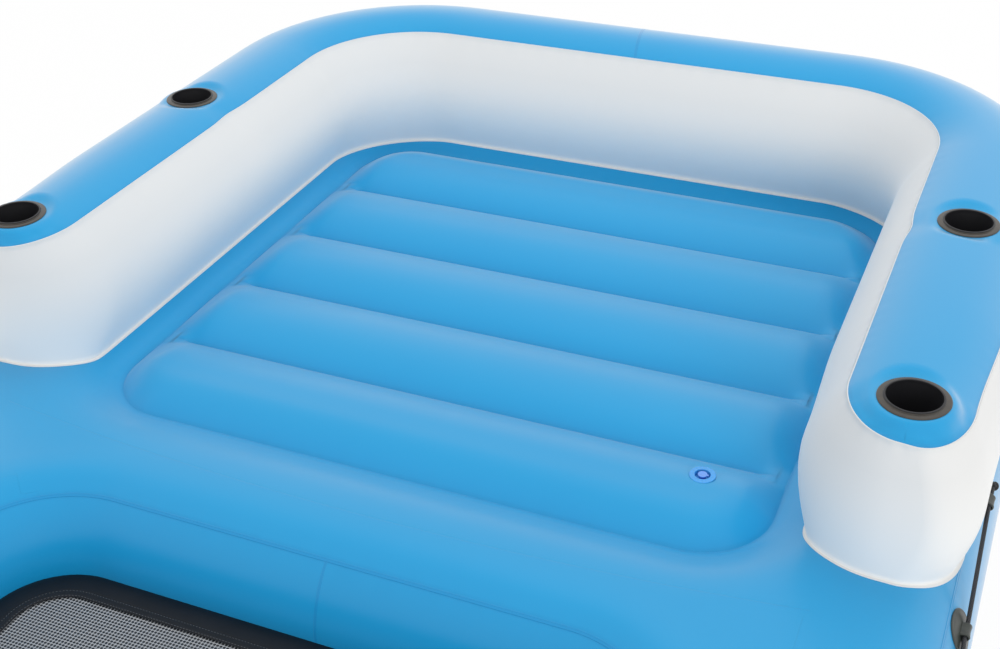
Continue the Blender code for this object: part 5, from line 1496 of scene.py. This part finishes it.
class ISLAND_OT_rope(Operator):
    """Grab rope and the moulded patches that carry it."""

    bl_idname = "island.rope"
    bl_label = "Rope and patches"

    half_length = 0.055
    half_width = 0.041
    plate = 0.0030
    bore = 0.0053
    bore_height = 0.0105
    hood = 0.0093
    hood_length = 0.034
    wall_bend = 0.230
    angle = math.radians(61)
    spacing = 0.405

    def execute(self, context):
        sizes, colours, _ = settings()
        patch_finish = self.patch_finish(colours.patch)
        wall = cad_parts["backrest_outer_wall"].data
        wall_faces = [tuple(face.vertices) for face in wall.polygons]
        wall_tree = BVHTree.FromPolygons([vertex.co.copy() for vertex in wall.vertices], wall_faces)
        places = []
        reaches = [self.spacing * (index + 0.5) for index in range(7)]
        for side, side_name in ((-1.0, "left"), (1.0, "right")):
            line = []
            for number, reach in enumerate(reaches, 1):
                node = "rope_patch_%s_%d" % (side_name, number)
                point, normal = self.wall_place(side * reach, self.angle)
                flat = Vector((normal.x, normal.y, 0.0)).normalized()
                along = Vector((0.0, 0.0, 1.0)).cross(flat).normalized()
                place = self.patch_place(node, point, along, normal)
                corner = 0.780 < reach < 0.780 + 0.480 * math.pi / 2.0
                self.patch(node, place, corner, patch_finish)
                line.append((side * reach, place))
            node = "rope_patch_%s_8" % side_name
            start = Vector((side * BASE_HALF_WIDTH * 2.0, FOOT_FRONT + 0.270, BASE_HEIGHT + 0.035))
            hit, normal = wall_tree.ray_cast(start, Vector((-side, 0.0, 0.0)))[:2]
            normal = Vector((normal.x, 0.0, normal.z)).normalized()
            place = self.patch_place(node, hit, Vector((0.0, side, 0.0)), normal)
            self.patch(node, place, False, patch_finish)
            line.append((None, place))
            places = list(reversed(line)) if side < 0 else places + line
        self.rope(places, sizes.rope_diameter)
        return {"FINISHED"}

    def wall_place(self, reach, angle):
        """Point and outward normal on the base's outer wall, by distance along it and section angle."""
        side = 1.0 if reach >= 0 else -1.0
        left = abs(reach)
        half_front, radius = BASE_HALF_WIDTH - 0.480, 0.480
        if left < half_front:
            edge, outward = Vector((side * left, BASE_FRONT, 0.0)), Vector((0.0, -1.0, 0.0))
        elif left < half_front + radius * math.pi / 2.0:
            turn = (left - half_front) / radius
            outward = Vector((side * math.sin(turn), -math.cos(turn), 0.0))
            edge = Vector((side * half_front, BASE_FRONT + radius, 0.0)) + outward * radius
        else:
            along = left - half_front - radius * math.pi / 2.0
            edge = Vector((side * BASE_HALF_WIDTH, BASE_FRONT + radius + along, 0.0))
            outward = Vector((side, 0.0, 0.0))
        point = edge - outward * SHOULDER_REACH * (1.0 - math.sin(angle))
        point.z = BASE_MIDDLE * (1.0 + math.cos(angle))
        normal = outward * math.sin(angle) * BASE_MIDDLE
        normal.z = math.cos(angle) * SHOULDER_REACH
        return point, normal.normalized()

    def patch_place(self, node, point, along, outward):
        """Where a patch lies: turned to the wall, its hood as high as the solid's."""
        up = outward.cross(along).normalized()
        high = max((vertex.co - point).dot(outward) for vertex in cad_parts[node].data.vertices)
        lift = high - self.bore_height - self.hood
        return Matrix.Translation(point + outward * lift) @ Matrix((along, up, outward)).transposed().to_4x4()

    def bend(self, x, y, z, corner):
        """Point of a patch bent to its wall."""
        z -= y ** 2 / (2.0 * self.wall_bend)
        if corner:
            z -= x ** 2 / (2.0 * 0.480)
        return (x, y, z)

    def patch(self, node, place, corner, finish):
        """Oval plate with a soft rim and a raised middle, and a hood with rolled ends round the rope."""
        steps = 64
        profile = [
            (1.0, 0.0), (1.006, 0.0007), (1.0, 0.0016), (0.985, 0.0024), (0.955, 0.0029), (0.925, 0.0030),
            (0.905, 0.0027), (0.885, 0.0027), (0.84, 0.0032), (0.72, 0.0038), (0.55, 0.0043), (0.36, 0.0047),
            (0.18, 0.0049),
        ]
        points = []
        for share, height in profile:
            for step in range(steps):
                turn = 2.0 * math.pi * step / steps
                cosine, sine = math.cos(turn), math.sin(turn)
                x = self.half_length * share * math.copysign(abs(cosine) ** 0.94, cosine)
                y = self.half_width * share * math.copysign(abs(sine) ** 0.94, sine)
                points.append(place @ Vector(self.bend(x, y, height, corner)))
        faces = grid_faces(len(profile), steps, True, False)
        points.append(place @ Vector(self.bend(0.0, 0.0, profile[-1][1], corner)))
        last = (len(profile) - 1) * steps
        faces.extend((last + step, last + (step + 1) % steps, len(points) - 1) for step in range(steps))
        half, lip = self.hood_length / 2.0, 0.0022
        stations = [(-0.72, 0.0), (-0.90, 0.0), (-1.0, 0.15), (-1.06, 0.5), (-1.03, 0.85), (-0.92, 1.0), (-0.6, 1.0)]
        outline = 21
        for side in (-1.0, 1.0):
            first = len(points)
            rows = stations if side < 0 else [(-share, inner) for share, inner in stations]
            for share, inner in rows:
                for step in range(outline):
                    turn = math.pi * (1.0 - step / (outline - 1))
                    flare = 1.0 + 0.10 * smooth_step(0.6, 1.0, abs(share))
                    foot = 0.45 * abs(math.cos(turn)) ** 6
                    across = self.hood * flare * (1.0 + foot * 0.55) * math.cos(turn)
                    height = self.bore_height + self.hood * flare * math.sin(turn)
                    height -= abs(math.cos(turn)) ** 6 * (self.bore_height - self.plate)
                    hole_y = self.bore * math.cos(turn * 1.3 - 0.15 * math.pi)
                    hole_z = self.bore_height + self.bore * math.sin(turn * 1.3 - 0.15 * math.pi)
                    x = share * half + math.copysign(lip * math.sin(inner * math.pi) * 0.3, share)
                    spot = (x, mix(across, hole_y, inner), mix(height, hole_z, inner))
                    points.append(place @ Vector(self.bend(*spot, corner)))
            for row in range(len(rows) - 1):
                for step in range(outline - 1):
                    low = first + row * outline + step
                    face = (low, low + 1, low + outline + 1, low + outline)
                    faces.append(face if side > 0 else tuple(reversed(face)))
        first = len(points)
        for share in (-0.72, -0.35, 0.0, 0.35, 0.72):
            for step in range(outline):
                turn = math.pi * (1.0 - step / (outline - 1))
                flare = 1.0 + 0.10 * smooth_step(0.6, 1.0, abs(share)) - 0.05 * (1.0 - abs(share) / 0.72)
                foot = 0.45 * abs(math.cos(turn)) ** 6
                across = self.hood * flare * (1.0 + foot * 0.55) * math.cos(turn)
                height = self.bore_height + self.hood * flare * math.sin(turn)
                height -= abs(math.cos(turn)) ** 6 * (self.bore_height - self.plate)
                points.append(place @ Vector(self.bend(share * half, across, height, corner)))
        for row in range(4):
            for step in range(outline - 1):
                low = first + row * outline + step
                faces.append((low, low + outline, low + outline + 1, low + 1))
        return new_piece(node + "_moulding", points, faces, finish, [node])

    def rope(self, places, diameter):
        """Braided rope through every patch, with a knot at each end."""
        def through(place, reach):
            return place @ Vector((reach, 0.0, self.bore_height))

        route = []
        for index, (reach, place) in enumerate(places):
            route.extend(through(place, share * 0.026) for share in (-1.0, 0.0, 1.0))
            if 0 < index < len(places) - 2:
                following = places[index + 1][0]
                lift = (through(place, 0.0) - self.wall_place(reach, self.angle)[0]).length
                for share in (0.28, 0.5, 0.72):
                    angle = self.angle + math.radians(4.0) * math.sin(math.pi * share)
                    point, normal = self.wall_place(mix(reach, following, share), angle)
                    route.append(point + normal * lift)
        route = [through(places[0][1], -0.058)] + route + [through(places[-1][1], 0.058)]
        path = self.smooth(route, 0.004)
        walked = [0.0]
        for before, after in zip(path, path[1:]):
            walked.append(walked[-1] + (after - before).length)
        sides = 12
        points, faces, run, turn_of = [], [], [], []
        for index, place in enumerate(path):
            along = (path[min(index + 1, len(path) - 1)] - path[max(index - 1, 0)]).normalized()
            side = along.cross(Vector((0.0, 0.0, 1.0))).normalized()
            up = side.cross(along)
            for step in range(sides):
                turn = 2.0 * math.pi * step / sides
                points.append(place + (side * math.cos(turn) + up * math.sin(turn)) * diameter / 2.0)
                run.append(walked[index])
                turn_of.append(step / sides)
        faces = grid_faces(len(path), sides, True, True)
        faces.append(tuple(range(sides)))
        faces.append(tuple(reversed(range(len(points) - sides, len(points)))))
        for end, inward in ((0, 1), (-1, -2)):
            knot, knot_faces = self.knot(path[end], (path[end] - path[inward]).normalized(), diameter)
            first = len(points)
            points.extend(knot)
            faces.extend(tuple(first + index for index in face) for face in knot_faces)
            run.extend(index * 0.0004 for index in range(len(knot)))
            turn_of.extend((index % 10) / 10.0 for index in range(len(knot)))
        measures = {"run": run, "turn": turn_of}
        made = new_piece("grab_rope_braid", points, faces, self.rope_finish(), ["grab_rope"], measures)
        return made

    def smooth(self, route, spacing):
        """Even points on one smooth line through a route."""
        path = []
        for index in range(len(route) - 1):
            before, start = route[max(index - 1, 0)], route[index]
            end, after = route[index + 1], route[min(index + 2, len(route) - 1)]
            length = (end - start).length
            into = (end - before).normalized() * length
            out = (after - start).normalized() * length
            steps = max(int(length / spacing), 1)
            for step in range(steps):
                t = step / steps
                path.append(
                    start * (2 * t ** 3 - 3 * t ** 2 + 1) + into * (t ** 3 - 2 * t ** 2 + t)
                    + end * (3 * t ** 2 - 2 * t ** 3) + out * (t ** 3 - t ** 2)
                )
        path.append(route[-1])
        return path

    def knot(self, centre, along, diameter):
        """Overhand knot: a tight loop of rope round its own end."""
        side = along.cross(Vector((0.0, 0.0, 1.0))).normalized()
        up = side.cross(along)
        loop = []
        for step in range(48):
            turn = 2.0 * math.pi * step / 48
            radius = diameter * (0.62 + 0.26 * math.cos(3.0 * turn))
            loop.append(
                centre + side * radius * math.cos(2.0 * turn) + up * radius * math.sin(2.0 * turn)
                + along * diameter * 0.42 * math.sin(3.0 * turn)
            )
        points, faces = [], []
        sides = 10
        for index, place in enumerate(loop):
            tangent = (loop[(index + 1) % 48] - loop[index - 1]).normalized()
            first = tangent.cross(along).normalized()
            second = first.cross(tangent)
            for step in range(sides):
                turn = 2.0 * math.pi * step / sides
                points.append(place + (first * math.cos(turn) + second * math.sin(turn)) * diameter * 0.42)
        for index in range(48):
            following = (index + 1) % 48
            for step in range(sides):
                after = (step + 1) % sides
                faces.append((index * sides + step, index * sides + after, following * sides + after, following * sides + step))
        return points, faces

    def patch_finish(self, colour):
        """Charcoal moulded rubber, satin, a little lighter in random blots."""
        made = Finish("charcoal_rubber", colour, 0.38, Coat_Weight=0.2, Coat_Roughness=0.25)
        pale = tuple(channel * 2.0 for channel in colour)
        made.set("Base Color", made.blend(made.noise(90.0, 5.0) ** 2.0, colour, pale))
        made.set("Roughness", 0.34 + made.noise(70.0, 4.0) * 0.16)
        made.relief(made.noise(700.0, 2.0) * 0.08)
        return made.material

    def rope_finish(self):
        """Black braided rope."""
        made = Finish("braided_rope", (0.018, 0.019, 0.022), 0.58)
        run, turn = made.measure("run"), made.measure("turn")
        first = (run * 900.0 + turn * 37.7).sine()
        second = (run * 900.0 - turn * 37.7).sine()
        braid = first.math("MAXIMUM", second)
        made.set("Base Color", made.blend(braid * 0.5 + 0.5, (0.010, 0.011, 0.013), (0.040, 0.043, 0.050)))
        made.set("Roughness", 0.52 + made.noise(500.0) * 0.14)
        made.relief(braid * 0.5 + made.noise(1400.0) * 0.15)
        return made.material


class ISLAND_PT_panel(Panel):
    """Buttons for each group of pieces, and their settings."""

    bl_idname = "ISLAND_PT_panel"
    bl_label = "Floating island"
    bl_space_type = "VIEW_3D"
    bl_region_type = "UI"
    bl_category = "Island"

    def draw(self, context):
        for title, group in (
            ("Sizes", context.scene.island_sizes),
            ("Colours", context.scene.island_colours),
            ("Light", context.scene.island_light),
        ):
            column = self.layout.column(align=True)
            column.label(text=title)
            for name in group.__annotations__:
                column.prop(group, name)
        column = self.layout.column(align=True)
        column.label(text="Build")
        for step in STEPS:
            column.operator(step.bl_idname)


STEPS = (
    ISLAND_OT_stage,
    ISLAND_OT_base,
    ISLAND_OT_floor,
    ISLAND_OT_backrest,
    ISLAND_OT_cup_holders,
    ISLAND_OT_floor_valve,
    ISLAND_OT_large_valves,
    ISLAND_OT_net,
    ISLAND_OT_rope,
)
CLASSES = (IslandColours, IslandSizes, IslandLight, *STEPS, ISLAND_PT_panel)


def register():
    """Add the settings, the operators and the panel."""
    for item in CLASSES:
        bpy.utils.register_class(item)
    bpy.types.Scene.island_sizes = PointerProperty(type=IslandSizes)
    bpy.types.Scene.island_colours = PointerProperty(type=IslandColours)
    bpy.types.Scene.island_light = PointerProperty(type=IslandLight)


def unregister():
    """Take them away again."""
    del bpy.types.Scene.island_light
    del bpy.types.Scene.island_colours
    del bpy.types.Scene.island_sizes
    for item in reversed(CLASSES):
        bpy.utils.unregister_class(item)


def main():
    """Build every group of pieces."""
    register()
    bpy.ops.island.stage()
    bpy.ops.island.base()
    bpy.ops.island.floor()
    bpy.ops.island.backrest()
    bpy.ops.island.cup_holders()
    bpy.ops.island.floor_valve()
    bpy.ops.island.large_valves()
    bpy.ops.island.net()
    bpy.ops.island.rope()


if __name__ == "__main__":
    main()
